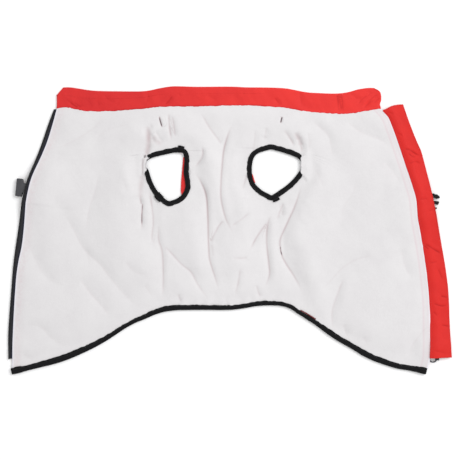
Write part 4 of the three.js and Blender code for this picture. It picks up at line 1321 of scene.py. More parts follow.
def sew(
    panels: Sequence[ClothPanel], hole_rows: tuple[int, int], reach: int = 16, overlap: float = 0.3
) -> list[np.ndarray]:
    """Brings three neighbouring panels together in seams above and below the leg holes.

    Args:
        panels: the panels from the left.
        hole_rows: the points of a packed side between which a leg hole lies.
        reach: how many columns beside a seam follow it.
        overlap: how far the edges reach over each other in mm.

    Returns:
        For each panel, which corners of its grid lie in a seam.
    """
    upper, lower = (row * panels[0].rows for row in hole_rows)
    numbers = np.arange(len(panels[0].top))
    rows = numbers[(numbers <= upper) | (numbers >= lower)]
    sewn = [np.zeros(panel.top.shape[:2], dtype=bool) for panel in panels]
    for k in range(len(panels) - 1):
        a, b = panels[k].top, panels[k + 1].top
        middle = (a[rows, -1] + b[rows, 0]) / 2
        ahead = b[rows, 0, :2] - a[rows, -1, :2]
        ahead /= np.linalg.norm(ahead, axis=1)[:, None]
        rise_a = middle[:, 2] - a[rows, -1, 2]
        rise_b = middle[:, 2] - b[rows, 0, 2]
        for j in range(reach):
            share = smooth(1 - j / reach)
            a[rows, -1 - j, 2] += rise_a * share
            b[rows, j, 2] += rise_b * share
        a[rows, -1, :2] = middle[:, :2] + ahead * overlap
        b[rows, 0, :2] = middle[:, :2] - ahead * overlap
        sewn[k][rows[1:-1], -1] = True
        sewn[k + 1][rows[1:-1], 0] = True
    return sewn


@dataclass
class Lining:
    """The fleece lining: three panels that meet in seams through the leg holes."""

    workshop: Workshop
    thickness: float = 1.8
    over_shell: float = 0.7
    over_edge: float = 0.9
    edge_reach: int = 6
    edge_band: float = 30.0
    hole_rows: tuple[int, int] = (5, 19)
    rows: int = 9
    columns: int = 9
    cut: dict = field(
        default_factory=lambda: {
            "lining_left": ((0.33, 0.49), 0.103),
            "lining_chest": ((0.25, 0.38), 0.0733),
            "lining_right": ((0.32, 0.49), 0.102),
        }
    )
    corners: dict = field(
        default_factory=lambda: {
            "lining_left": ((-312, 218), (-392, -259), (-119, -143), (-129, 222)),
            "lining_chest": ((-129, 222), (-119, -143), (90, -134), (99, 220)),
            "lining_right": ((99, 220), (90, -134), (352, -258), (272, 219)),
        }
    )
    flaps: dict = field(
        default_factory=lambda: {
            "lining_left": Flap(-1, -149.6, 113.0, 131.5),
            "lining_right": Flap(1, 127.6, 108.0, 126.0),
        }
    )
    panels: dict[str, ClothPanel] = field(default_factory=dict)

    def build(self) -> None:
        """Builds and dresses the three panels."""
        for name, corners in self.corners.items():
            panel = ClothPanel(name, corners, self.rows, self.columns, self.hole_rows)
            self.panels[name] = panel.fit(self.workshop.shape(name))
        sewn = sew(list(self.panels.values()), self.hole_rows)
        for (name, panel), seam in zip(self.panels.items(), sewn):
            x, y, z = parts(panel.top)
            z += self._nap(x, y)
            if name in self.flaps:
                self.flaps[name].lift(panel.top)
            side, line = press(panel.top, CHEST_CREASES + FLANK_CREASES)
            under = soften(self.workshop.shape(name.replace("lining", "shell")).tops(x, y), 3)
            rim = rim_share(z.shape, self.edge_reach)
            z[:] = np.maximum(z, under + self.over_shell + self.over_edge * rim)
            if name in self.flaps:
                self.flaps[name].hold(panel.top)
            y[0] += self._neck_wave(x[0])
            piece = cloth_mesh(name + "_fleece", panel.top, self.thickness, False, seam)
            mark_creases(piece, side, line)
            for attribute, values in self._zip_side(name, panel).items():
                add_attribute(piece, attribute, values)
            self.workshop.finish(piece, self.workshop.finishes.fleece, Slot.FLEECE, [name])

    def _nap(self, x: np.ndarray, y: np.ndarray) -> np.ndarray:
        """Slight unevenness of the pile, and the gathers along the belly's hem."""
        uneven = 0.4 * soft_noise(x, y, 26.0, 1) + 0.14 * soft_noise(x, y, 9.0, 2)
        uneven = uneven + 0.05 * soft_noise(x, y, 4.0, 3)
        hem = np.exp(-(((y + 134) / 13.0) ** 2)) * smooth((x + 125) / 20) * smooth((115 - x) / 20)
        return uneven + hem * 0.55 * np.sin(x / 3.6 + 2 * soft_noise(x, y, 16.0, 5))

    @staticmethod
    def _neck_wave(x: np.ndarray) -> np.ndarray:
        """How far the edge at the collar's seam wanders up."""
        level = x * 0
        return 0.45 + 0.5 * soft_noise(x, level, 3.0, 6) + 0.4 * soft_noise(x, level, 9.0, 7)

    def _zip_side(self, name: str, panel: ClothPanel) -> dict[str, np.ndarray]:
        """Distance in mm from the zip's seam, up to a band's width, on the left and the right flank."""
        x, band = panel.top[..., 0], self.edge_band
        far = np.full(x.shape, band)
        left = np.minimum(x - x[:, :1], band) if name == "lining_left" else far
        right = np.minimum(x[:, -1:] - x, band) if name == "lining_right" else far
        return {"left_edge": left, "right_edge": right}

    def hem(self) -> np.ndarray:
        """The lower edge of all three panels, from the left."""
        left, chest, right = (panel.top[-1] for panel in self.panels.values())
        return np.vstack([left[:-1], chest[1:-1], right[1:]])


@dataclass
class Shell:
    """The red nylon outside of the coat: three panels, seen from underneath."""

    workshop: Workshop
    thickness: float = 1.0
    area_share: float = 0.98
    names: tuple = ("shell_left", "shell_chest", "shell_right")

    def build(self, lining: Lining) -> None:
        """Builds the panels under the lining's.

        Args:
            lining: the lining, whose corners and cut it shares.
        """
        panels = []
        for name in self.names:
            corners = lining.corners[name.replace("shell", "lining")]
            panel = ClothPanel(name, corners, 6, 12, lining.hole_rows, 16)
            panels.append(panel.fit(self.workshop.shape(name)))
            self._wrinkle(panel)
        for name, panel, seam in zip(self.names, panels, sew(panels, lining.hole_rows)):
            piece = cloth_mesh(name + "_nylon", panel.top, self.thickness, True, seam)
            self.workshop.finish(piece, self.workshop.finishes.nylon, Slot.NYLON, [name])

    def _wrinkle(self, panel: ClothPanel) -> None:
        """Soft creases of the nylon, deeper away from its seams."""
        x, y, z = parts(panel.top)
        i, j = np.meshgrid(*(np.arange(count) for count in x.shape), indexing="ij")
        inside = smooth(np.minimum(i, i[::-1]) / 9.0) * smooth(np.minimum(j, j[:, ::-1]) / 6.0)
        bend = 18 * soft_noise(x, y, 60.0, 21)
        long_folds = np.abs(soft_noise(x + 0.6 * y + bend, y * 0.35 - x * 0.2, 34.0, 22)) ** 0.7
        small = soft_noise(x - 0.4 * y, y + bend, 13.0, 23)
        z -= inside * (0.75 * (1 - long_folds) ** 2 + 0.14 * small)


# Bindings


Heights = float | np.ndarray


@dataclass(frozen=True)
class BindingTape:
    """A tape folded over an edge: lip, thickness and heights of its two lips."""

    lip: float = 8.0
    wall: float = 1.1
    top: float = 6.0
    bulge: float = 0.3

    def section(self) -> np.ndarray:
        """Distance in from the fold and height, round the folded tape."""
        mid = self.top / 2
        fold = np.linspace(-math.pi / 2, math.pi / 2, 11)
        outer_x = mid * 0.62 * (1 - np.cos(fold))
        outer = np.column_stack([outer_x, mid + mid * np.sin(fold)])
        under = self.wall
        upper = [(4.0, -self.bulge), (6.4, -0.1), (7.5, 0.0), (7.95, 0.35)]
        inside = [(7.9, under), (5.0, under), (2.2, under + 0.2)]
        half = np.array([(across, self.top - down) for across, down in upper + inside])
        other = np.column_stack([half[:, 0], np.clip(self.top - half[:, 1], 0.0, None)])[::-1]
        return np.vstack([outer, half, [(1.3, mid)], other])


@dataclass(frozen=True)
class Lap:
    """A place where a tape's ends lie over each other, thicker than the rest."""

    x: float
    y: float
    length: float
    lip: float
    rise: float = 0.9
    inset: float = 0.45


@dataclass(frozen=True)
class Nudge:
    """A place where a leg hole's rim lies further across and up than its pattern."""

    x: float
    y: float
    reach: float
    across: float
    up: float = 0.0


@dataclass
class Bindings:
    """Black tapes round the hem and both leg holes.

    Near cover_y, beyond cover_x on both sides, the fleece bulges over a leg hole's tape, which is
    narrower there. The end beyond end_x, between end_low and end_high, goes down under the fleece.
    """

    workshop: Workshop
    tape: BindingTape = field(default_factory=BindingTape)
    cut_width: float = 0.022
    rim_inset: float = 1.4
    fold_level: float = 0.7
    leg_lip: float = 8.7
    hem_step: float = 1.5
    hem_probe: float = 4.0
    cover_y: float = 118.0
    cover_half: float = 9.0
    cover_x: float = 118.0
    cover_slope: float = 6.0
    cover_narrowing: float = 0.72
    end_x: float = -145.6
    end_low: float = 119.0
    end_high: float = 144.0
    end_width: float = 1.6
    end_slope: float = 3.0
    end_drop: float = 3.4
    stitch_rise: float = 0.12
    stitch_share: float = 0.78
    lap_stitch_rise: float = 0.3
    lap_stitch_share: float = 0.7
    lap_stitch_pitch: float = 2.4
    hem_lip: tuple = (
        (-391, 11.5), (-362, 9.5), (-308, 11.2), (-272, 10.8), (-229, 9.2), (-203, 7.8), (-182, 7.6),
        (-154, 8.0), (-115, 9.3), (-50, 8.8), (0, 8.1), (54, 8.0), (90, 7.2), (119, 7.0), (153, 7.9),
        (184, 9.5), (218, 9.2), (250, 10.4), (295, 9.3), (324, 9.4), (355, 11.0),
    )
    laps: dict = field(
        default_factory=lambda: {
            "leg_binding_left": (Lap(-129, 58, 14, 12.2, 0.9, 1.5), Lap(-89.5, 142, 8.0, 12.4)),
            "leg_binding_right": (Lap(84, 56, 8.5, 13.6),),
            "hem_binding": (Lap(-381, -255, 16, 12.2, 0.5), Lap(346, -252, 14, 12.0, 0.5)),
        }
    )
    nudges: tuple = (
        Nudge(-149, 112, 17, 2.4), Nudge(-150, 119, 8.5, -3.8), Nudge(-78, 92, 26, -2.2),
        Nudge(127, 117, 8, 2.0), Nudge(-88, 140, 7.5, 2.8, 1.8), Nudge(-148, 131.5, 4.5, -1.6),
    )

    def build(self, lining: Lining) -> None:
        """Builds the three tapes and their sewn ends."""
        for name in ("leg_binding_left", "leg_binding_right"):
            self._leg(name)
        self._hem(lining)

    def _swept(
        self,
        name: str,
        rim: np.ndarray,
        inward: np.ndarray,
        lip: np.ndarray,
        closed: bool,
        rise: Heights = 0.0,
    ) -> bpy.types.Object:
        """Sweeps the folded tape along a rim.

        Args:
            name: the piece's name.
            rim: the fold's line, with its lift as height.
            inward: unit normals toward the cloth.
            lip: how far the lips reach in, for each place of the rim.
            closed: whether the rim is a loop.
            rise: how much the upper half lies above its usual height, as one number or for each place.

        Returns:
            The object.
        """
        section = self.tape.section()
        along = lengths(rim[:, :2])
        rings = np.empty((len(rim), len(section), 3))
        wobble = soft_noise(along, along * 0, 7.0, 31)
        pucker = soft_noise(along, along * 0, 3.4, 32)
        for k, (inside, level) in enumerate(section):
            share = inside / self.tape.lip
            reach = share * (lip + 0.5 + 0.45 * wobble + 0.4 * pucker)
            high = smooth((level - 3) / 2)
            rings[:, k, 0] = rim[:, 0] + inward[:, 0] * reach
            rings[:, k, 1] = rim[:, 1] + inward[:, 1] * reach
            rings[:, k, 2] = rim[:, 2] + level + high * (0.22 * pucker + 0.14 * wobble + rise)
        return loft(name, rings, closed)

    def _laps(self, node: str, rim: np.ndarray, inward: np.ndarray) -> None:
        """The sewn laps of one tape."""
        thread = self.workshop.finishes.black_thread
        for k, lap in enumerate(self.laps[node]):
            nearest = int(np.argmin(np.hypot(rim[:, 0] - lap.x, rim[:, 1] - lap.y)))
            roll = 0 if node == "hem_binding" else len(rim) // 2 - nearest
            turned, normals = np.roll(rim, roll, axis=0), np.roll(inward, roll, axis=0)
            middle = (nearest + roll) % len(rim)
            along = lengths(turned[:, :2])
            picked = np.abs(along - along[middle]) < lap.length / 2
            part, toward = turned[picked].copy(), normals[picked]
            part[:, :2] -= toward * lap.inset
            lip = np.full(len(part), lap.lip)
            piece = self._swept(f"{node}_lap_{k + 1}", part, toward, lip, False, lap.rise)
            self.workshop.finish(piece, self.workshop.finishes.binding, Slot.BINDING)
            row = part + np.array([0, 0, self.tape.top + lap.rise + self.lap_stitch_rise])
            row[:, :2] += toward * lap.lip * self.lap_stitch_share
            name = f"{node}_lap_{k + 1}_stitches"
            stitch_row(self.workshop, name, row, thread, Slot.BINDING, self.lap_stitch_pitch)

    def _stitches(
        self, node: str, rim: np.ndarray, inward: np.ndarray, lip: np.ndarray, rise: Heights = 0.0
    ) -> None:
        """The row of stitches that holds a tape's lips."""
        thread = self.workshop.finishes.black_thread
        row = rim + np.array([0, 0, self.tape.top + self.stitch_rise])
        row[:, 2] += rise
        row[:, :2] += inward * lip[:, None] * self.stitch_share
        stitch_row(self.workshop, f"{node}_stitches", row, thread, Slot.BINDING)

    def _drop(self, rim: np.ndarray) -> np.ndarray:
        """How far the left hole's tape goes down where its upper end is under the fleece."""
        x, y = rim[:, 0], rim[:, 1]
        beyond = smooth((self.end_x - x) / self.end_width + 0.5)
        level = smooth((y - self.end_low) / self.end_slope) * smooth((self.end_high - y) / self.end_slope)
        return -self.end_drop * beyond * level

    def _leg(self, node: str) -> None:
        """A leg hole's tape."""
        corners = self.workshop.shape(node).level(self.fold_level)
        centre = corners[:, :2].mean(axis=0)
        turn = np.arctan2(corners[:, 1] - centre[1], corners[:, 0] - centre[0])
        loop = upsample(corners[np.argsort(turn)], 6, closed=True)
        for nudge in self.nudges:
            away = np.hypot(loop[:, 0] - nudge.x, loop[:, 1] - nudge.y)
            near = np.exp(-((away / nudge.reach) ** 2))
            loop[:, :2] += near[:, None] * np.array([nudge.across, nudge.up])
        rim = np.column_stack([loop[:, :2], np.zeros(len(loop))])
        inward = -left_normals(rim, closed=True)
        covered = np.exp(-(((rim[:, 1] - self.cover_y) / self.cover_half) ** 2))
        covered *= smooth((np.abs(rim[:, 0]) - self.cover_x) / self.cover_slope)
        lip = self.leg_lip * (1 - self.cover_narrowing * covered)
        drop = self._drop(rim)
        piece = self._swept(node + "_tape", rim, inward, lip, closed=True, rise=drop)
        self.workshop.finish(piece, self.workshop.finishes.binding, Slot.BINDING, [node])
        self._stitches(node, rim, inward, lip, drop)
        self._laps(node, rim, inward)

    def _hem(self, lining: Lining) -> None:
        """The hem's tape."""
        node = "hem_binding"
        rim = spaced(lining.hem(), self.hem_step)
        up = left_normals(rim, closed=False)
        rim[:, :2] -= up * self.rim_inset
        inner = rim[:, :2] + up * self.hem_probe
        tops = self.workshop.shape(node).tops(inner[:, 0], inner[:, 1])
        rim[:, 2] = soften(np.maximum(tops - self.tape.top, 0)[None], 6)[0]
        lip = np.interp(rim[:, 0], *np.array(self.hem_lip).T)
        piece = self._swept(node + "_tape", rim, up, lip, closed=False)
        self.workshop.finish(piece, self.workshop.finishes.binding, Slot.BINDING, [node])
        self._stitches(node, rim, up, lip)
        self._laps(node, rim, up)


@dataclass(frozen=True)
class Strip:
    """A narrow edge of red nylon. line is its visible edge, and back is where it goes under the cloth. deep
    gives it a much darker red, painted shade.
    """

    name: str
    line: tuple[tuple[float, float], ...]
    back: tuple[float, float]
    level: float
    deep: bool = False


@dataclass
class Facing:
    """The edges of red nylon that show inside the leg holes and beside the hem's tape."""

    workshop: Workshop
    thickness: float = 0.8
    step: float = 1.2
    rows: int = 7
    strips: tuple = (
        Strip(
            "facing_left_hole",
            ((-84, 132), (-85, 121), (-86, 109), (-87.4, 94), (-88.2, 80), (-88.4, 71), (-86.5, 62)),
            (10.0, 0.0), 2.2,
        ),
        Strip("facing_right_hole", ((41.2, 101), (42.6, 96), (44.0, 91), (45.8, 86)), (-7.0, 0.0), 2.2),
        Strip("facing_hem", ((127, -143.9), (139, -150.5), (154, -159.9)), (0.5, 0.85), 6.3, True),
    )

    def build(self) -> None:
        """Builds the strips."""
        finishes = self.workshop.finishes
        shares = np.linspace(0, 1, self.rows)[None, :, None]
        for strip in self.strips:
            line = spaced(upsample(np.array(strip.line, dtype=float), 6), self.step)
            flat = line[:, None] + shares * np.array(strip.back)
            # A strip's columns go to the right, so that its upper face looks up
            if strip.back[0] < 0 or strip.back[1] > 0:
                flat = flat[:, ::-1]
            heights = strip.level + 0.12 * soft_noise(flat[..., 0], flat[..., 1], 5.0, 81)
            piece = cloth_mesh(strip.name, np.dstack([flat, heights]), self.thickness, underside=True)
            # The hem's strip takes the much darker red: painted shade
            self.workshop.finish(piece, finishes.shaded_red_edge if strip.deep else finishes.nylon, Slot.NYLON)


# Collar and placket


@dataclass
class Collar:
    """The stand collar, a doubled band with a folded upper edge."""

    workshop: Workshop
    thickness: float = 3.4
    tuck: float = 1.4
    flat: tuple = (0.6, 0.038)
    end_reach: float = 24.0
    right_end: tuple = (
        (219.0, 272.4), (227.4, 270.2), (234.4, 272.7), (242.4, 272.7), (248.0, 271.6), (251.4, 269.4),
        (254.2, 265.0), (256.2, 259.7),
    )
    stitch_up: float = 2.4
    corners: tuple = ((-309, 254), (-312, 219), (273, 220), (263, 256))
    creases: tuple = (
        Crease(((-290, 233), (-282, 226), (-272, 220)), 3.4, 1.89, 0.50, 0.5),
        Crease(((-283, 232), (-275, 227), (-267, 220)), 2.8, 1.35, 0.39, -0.4),
        Crease(((-294, 237), (-287, 229)), 3.4, 1.22, 0.22, 0.3),
        Crease(((-238, 248), (-237, 235), (-235, 222)), 6.3, 1.08, 0.14, 0.3),
        Crease(((-262, 240), (-252, 230), (-246, 221)), 7.0, 0.81, 0.08, 0.4),
        Crease(((-196, 238), (-204, 222)), 7.0, 0.94, 0.08, 0.3),
        Crease(((-146, 248), (-149, 228)), 5.6, 1.22, 0.17, 0.3),
        Crease(((-103, 242), (-110, 233), (-118, 225)), 4.2, 1.89, 0.39, 0.5),
        Crease(((-92, 247), (-87, 241)), 3.4, 1.08, 0.19, 0.3),
        Crease(((-43, 244), (-23, 235)), 5.0, 0.81, 0.08, 0.3),
        Crease(((-62, 241), (-48, 228)), 5.0, 0.81, 0.08, -0.3),
        Crease(((5, 246), (24, 232)), 5.6, 0.68, 0.07, 0.3),
        Crease(((80, 240), (91, 226)), 4.2, 1.49, 0.22, 0.4),
        Crease(((127, 251), (128, 236), (131, 222)), 5.0, 1.22, 0.14, 0.3),
        Crease(((192.5, 249), (194.5, 232), (197, 212)), 1.7, 0.56, 0.45, 0.2),
        Crease(((200.7, 249), (202.5, 232), (205, 212)), 1.7, 0.56, 0.39, 0.2),
        Crease(((268, 246), (256, 238), (246, 226), (244, 220)), 3.9, 2.03, 0.33, -0.5),
        Crease(((270, 239), (263, 233), (258, 228)), 3.4, 1.49, 0.28, 0.3),
        Crease(((256, 250), (247, 240)), 4.2, 1.08, 0.14, 0.3),
        Crease(((196.6, 249), (198.6, 232), (201, 212)), 1.7, 0.40, 0.40, 0.2),
        Crease(((-226, 246), (-219, 236), (-205, 230)), 6.0, 1.00, 0.12, 0.4),
        Crease(((249, 244), (238, 236), (231, 226)), 4.0, 1.10, 0.20, 0.4),
        Crease(((259, 236), (250, 229), (240, 219)), 3.6, 1.20, 0.30, 0.4),
        Crease(((216, 249), (226, 240), (240, 235)), 4.0, 0.80, 0.12, 0.3),
    )

    def build(self) -> None:
        """Builds the band from the neck's seam to its fold."""
        panel = ClothPanel("collar", self.corners, 5, 5, (), 4)
        top = panel.fit(self.workshop.shape("collar")).top
        x, y, z = parts(top)
        ends, places = np.array(self.right_end).T
        shift = np.interp(y[:, -1], ends, places) - x[:, -1]
        x += shift[:, None] * smooth(1 - (x[:, -1:] - x) / self.end_reach)
        up = y - y[-1:]
        z += self._relief(x, y, up, y[:1] - y)
        side, line = press(top, self.creases, 4.0)
        # Painted shade along the seam where the band turns under
        shaded_edge(side, line, up, 0.5)
        sewn = np.zeros(x.shape, dtype=bool)
        sewn[-1] = True
        y[-1] -= self.tuck
        piece = cloth_mesh("collar_band", top, self.thickness, True, sewn)
        mark_creases(piece, side, line)
        finishes = self.workshop.finishes
        self.workshop.finish(piece, finishes.nylon, Slot.NYLON, ["collar"])
        row = self._stitch_line(top, up)
        stitch_row(self.workshop, "collar_topstitch", row, finishes.red_thread, Slot.NYLON)

    @staticmethod
    def _relief(x: np.ndarray, y: np.ndarray, up: np.ndarray, down: np.ndarray) -> np.ndarray:
        """The dip and gathers along the seam, and slanting folds between the edges.

        Args:
            x: places on the band in mm.
            y: places on the band in mm.
            up: their distance from the seam.
            down: their distance from the fold.

        Returns:
            How much higher the cloth lies there.
        """
        dip = -0.25 * np.exp(-((up / 1.6) ** 2))
        gathers = 0.35 * np.exp(-((up / 6) ** 2)) * soft_noise(x, x * 0, 4.6, 43)
        inside = smooth(up / 5) * smooth(down / 7)
        folds = 0.9 * soft_noise(x + 0.6 * y, y * 0.2, 37.0, 44)
        folds = folds + 0.6 * soft_noise(x + 0.9 * y, y * 0.3, 16.0, 41)
        folds = folds + 0.22 * soft_noise(x + 0.5 * y, y * 0.3, 7.0, 42)
        return dip + gathers + inside * folds

    def _stitch_line(self, top: np.ndarray, up: np.ndarray) -> np.ndarray:
        """The line of the stitches, up from the edge that is tucked into the seam."""
        near = np.argmin(np.abs(up - self.stitch_up), axis=0)
        row = top[near, np.arange(top.shape[1])]
        row[:, 1] = top[-1, :, 1] + self.stitch_up
        return row[2:-2] + np.array([0, 0, 0.02])


def stitch_row(
    workshop: Workshop,
    name: str,
    line: np.ndarray,
    thread: bpy.types.Material,
    slot: Slot,
    pitch: float = 3.2,
) -> None:
    """A row of stitches along a line.

    Args:
        workshop: the frame and finishes.
        name: the piece's name.
        line: the line that the thread follows, on the cloth's surface.
        thread: the thread's finish.
        slot: the slot of the cloth that it is sewn into.
        pitch: distance from stitch to stitch in mm.
    """
    places = spaced(line, pitch)
    centres = (places[1:] + places[:-1]) / 2
    shape, faces = bead(pitch * STITCH_SHARE, *THREAD_SIZE)
    piece = repeated(name, shape, faces, placed(centres, np.diff(places, axis=0)))
    workshop.finish(piece, thread, slot)


@dataclass
class Placket:
    """The doubled red band behind the right half of the zip."""

    workshop: Workshop
    thickness: float = 2.2
    tuck: float = 1.2
    flat: tuple = (0.04, 0.48)
    area: float = 0.0166
    creases: tuple = (
        Crease(((299, 176), (312, 170)), 2.4, 0.6, 0.2, 0.3),
        Crease(((312, 146), (323, 145), (336, 137), (344, 136)), 2.4, 1.0, 0.5, 0.5),
        Crease(((320, 139), (327, 134), (334, 131)), 2.0, 0.9, 0.5, -0.4),
        Crease(((318, 119), (334, 124), (344, 119)), 3.2, 0.8, 0.3, 0.4),
        Crease(((281, 214), (296, 209)), 3.0, 0.6, 0.2, 0.3),
        Crease(((350, -23), (362, -31), (377, -40), (381, -43)), 2.6, 1.2, 0.6, 0.5),
        Crease(((347, -26), (359, -35)), 2.0, 0.9, 0.4, -0.4),
        Crease(((339, 55), (356, 58)), 3.0, 0.6, 0.2, 0.3),
        Crease(((356, 34), (370, 40)), 3.0, 0.6, 0.2, 0.3),
        Crease(((356, -59), (374, -56)), 3.0, 0.6, 0.2, 0.3),
        Crease(((374, -68), (383, -89)), 2.6, 0.7, 0.25, 0.3),
        Crease(((379, -118), (393, -121)), 2.2, 0.8, 0.5, 0.3),
        Crease(((365, -131), (381, -136), (392, -134)), 2.6, 0.9, 0.45, 0.4),
        Crease(((380, -170), (395, -173)), 2.4, 0.8, 0.4, 0.3),
        Crease(((365, -146), (374, -154)), 2.6, 0.7, 0.3, 0.3),
        Crease(((365, -215), (389, -221)), 3.2, 0.7, 0.2, 0.3),
    )

    def build(self) -> None:
        """Builds the band and its stitching."""
        shape = self.workshop.shape("placket")
        top = ClothPanel("placket", shape.end_corners(), 8, 6, (), 6).fit(shape).top
        x, y, z = parts(top)
        left, right = x - x[:, :1], x[:, -1:] - x
        folds = 0.4 * soft_noise(x + 0.8 * y, y * 0.4, 15.0, 51) + 0.14 * soft_noise(x, y, 6.0, 52)
        z += smooth(np.minimum(left, right) / 5) * folds
        side, line = press(top, self.creases, 4.0)
        # Painted shade along both long edges
        shaded_edge(side, line, right, 0.55)
        shaded_edge(side, line, left + 0.6, 0.45)
        sewn = np.zeros(x.shape, dtype=bool)
        sewn[1:-1, 0] = True
        x[1:-1, 0] -= self.tuck
        piece = cloth_mesh("placket_band", top, self.thickness, True, sewn)
        mark_creases(piece, side, line)
        finishes = self.workshop.finishes
        self.workshop.finish(piece, finishes.doubled, Slot.NYLON, ["placket"])
        for name, column in (("placket_topstitch_inner", 2), ("placket_topstitch_outer", -4)):
            row = top[2:-2, column] + np.array([0, 0, 0.05])
            stitch_row(self.workshop, name, row, finishes.red_thread, Slot.NYLON)


# Zip


@dataclass
class Zip:
    """Both halves of the zip: tapes, coils, pin, retainer box, slider and ring pull."""

    workshop: Workshop
    tape_thickness: float = 1.0
    coil_in: float = 1.6
    coil_rise: float = 1.15
    tooth_pitch: float = 1.5
    tooth: tuple = (2.9, 1.05, 1.7)
    tooth_margin: float = 1.0
    sag: float = 0.12
    sag_from: float = 3.0
    inner_width: float = 5.2
    inner_slope: float = 0.8
    slack: float = 1.02
    slider_round: float = 0.22
    moulded_round: float = 0.35
    ring_wire: float = 0.9
    ring_steps: tuple[int, int] = (72, 16)

    def build(self) -> None:
        """Builds every piece of the zip."""
        for side in ("left", "right"):
            edge = self._tape(side)
            self._coil(side, edge)
        for name in ("zip_pin", "zip_box"):
            self._moulded(name)
        slider = bevelled(self.workshop.shape("zip_slider"), "zip_slider_body", self.slider_round)
        self.workshop.finish(slider, self.workshop.finishes.metal, Slot.METAL, ["zip_slider"])
        self._ring()

    def _tape(self, side: str) -> np.ndarray:
        """One tape.

        Args:
            side: left or right.

        Returns:
            The line along its outer edge.
        """
        node = f"zip_tape_{side}"
        shape = self.workshop.shape(node)
        top = ClothPanel(node, shape.end_corners(), 8, 4, (), 4).fit(shape).top
        x, y, z = parts(top)
        away = x[:, -1:] - x if side == "left" else x - x[:, :1]
        z -= self.sag * (1 + soft_noise(x, y, 7.0, 61)) * smooth((away - self.sag_from) / 3)
        piece = cloth_mesh(node + "_cloth", top, self.tape_thickness, underside=True)
        add_attribute(piece, "inner", smooth((self.inner_width - away) / self.inner_slope))
        self.workshop.finish(piece, self.workshop.finishes.zip_tape, Slot.ZIP_TAPE, [node])
        width = float(np.abs(x[:, -1] - x[:, 0]).mean()) * MM
        float(y.max() - y.min()) * MM * self.slack
        return top[:, 0] if side == "left" else top[:, -1]

    def _coil(self, side: str, edge: np.ndarray) -> None:
        """The coil's teeth along a tape's outer edge."""
        node = f"zip_coil_{side}"
        along = self.workshop.shape(node).points[:, 1]
        top, foot = along.max() - self.tooth_margin, along.min() + self.tooth_margin
        inward = 1 if side == "left" else -1
        line = edge.copy()
        line[:, 0] += inward * self.coil_in
        line[:, 2] += self.coil_rise
        line = line[(line[:, 1] < top) & (line[:, 1] > foot)]
        places = spaced(line, self.tooth_pitch)
        ahead = np.gradient(places, axis=0)
        across = np.column_stack([-ahead[:, 1], ahead[:, 0], ahead[:, 2] * 0])
        shape, faces = bead(*self.tooth)
        piece = repeated(node + "_teeth", shape, faces, placed(places, across))
        self.workshop.finish(piece, self.workshop.finishes.coil, Slot.ZIP_PLASTIC, [node])

    def _moulded(self, node: str) -> None:
        """A moulded end piece with softened edges."""
        piece = bevelled(self.workshop.shape(node), node + "_moulding", self.moulded_round)
        self.workshop.finish(piece, self.workshop.finishes.coil, Slot.ZIP_PLASTIC, [node])

    def _ring(self) -> None:
        """The round wire ring that the slider is pulled by."""
        points = self.workshop.shape("zip_pull").points
        centre = points.mean(axis=0)
        axes = np.linalg.svd(points - centre)[2]
        wide = np.linalg.norm((points - centre) @ axes[:2].T, axis=1)
        radius = (wide.max() + wide.min()) / 2
        turn, small = (np.linspace(0, 2 * math.pi, count, endpoint=False) for count in self.ring_steps)
        rings = np.empty((*self.ring_steps, 3))
        for i, angle in enumerate(turn):
            out = math.cos(angle) * axes[0] + math.sin(angle) * axes[1]
            wire = np.outer(np.cos(small), out) + np.outer(np.sin(small), axes[2])
            rings[i] = centre + out * radius + wire * self.ring_wire
        piece = loft("zip_ring_pull", rings, closed=True)
        self.workshop.finish(piece, self.workshop.finishes.metal, Slot.METAL, ["zip_pull"], Body.PULL)


def bevelled(shape: PackedShape, name: str, width: float, segments: int = 3) -> bpy.types.Object:
    """A copy of a hard node with rounded edges.

    Args:
        shape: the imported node.
        name: the copy's name.
        width: how far the rounding reaches, in mm.
        segments: steps of the rounding.

    Returns:
        The object.
    """
    solid = shape.mesh.copy()
    bmesh.ops.dissolve_limit(solid, angle_limit=LEVEL, verts=solid.verts, edges=solid.edges)
    sharp = [e for e in solid.edges if len(e.link_faces) == 2 and e.calc_face_angle() > ROUNDED]
    bmesh.ops.bevel(
        solid, geom=sharp, offset=width, offset_type="OFFSET", segments=segments, profile=0.5,
        affect="EDGES", clamp_overlap=True,
    )
    bmesh.ops.triangulate(solid, faces=[f for f in solid.faces if len(f.verts) > 4])
    bmesh.ops.scale(solid, vec=(MM,) * 3, verts=solid.verts)
    mesh = bpy.data.meshes.new(name)
    solid.to_mesh(mesh)
    solid.free()
    mesh.shade_smooth()
    mesh.set_sharp_from_angle(angle=CRISP)
    return linked(name, mesh)


def plate(
    name: str, outline: Sequence[tuple[float, float]], low: float, high: float, edge: float
) -> bpy.types.Object:
    """A flat moulded tip with rounded edges.

    Args:
        name: the piece's name.
        outline: its outline from above, with the clock.
        low: the height of its lower face in mm.
        high: the height of its upper face in mm.
        edge: the radius of its edges in mm.

    Returns:
        The object.
    """
    loop = upsample(np.array(outline, dtype=float), 3, closed=True)
    inward = -left_normals(loop, closed=True)
    turn = np.linspace(-math.pi / 2, math.pi / 2, 4)
    rings = []
    for level, way in ((low + edge, turn[:2]), (high - edge, turn[2:])):
        for angle in way:
            inset = edge * (1 - math.cos(angle))
            flat = loop + inward * inset
            rings.append(np.column_stack([flat, np.full(len(flat), level + edge * math.sin(angle))]))
    return loft(name, np.array(rings), closed=False)


# Belt


@dataclass(frozen=True)
class Tip:
    """A flat tip of the plug that looks out past the placket, as an outline between two heights."""

    name: str
    outline: tuple[tuple[float, float], ...]
    low: float = 1.3
    high: float = 4.7


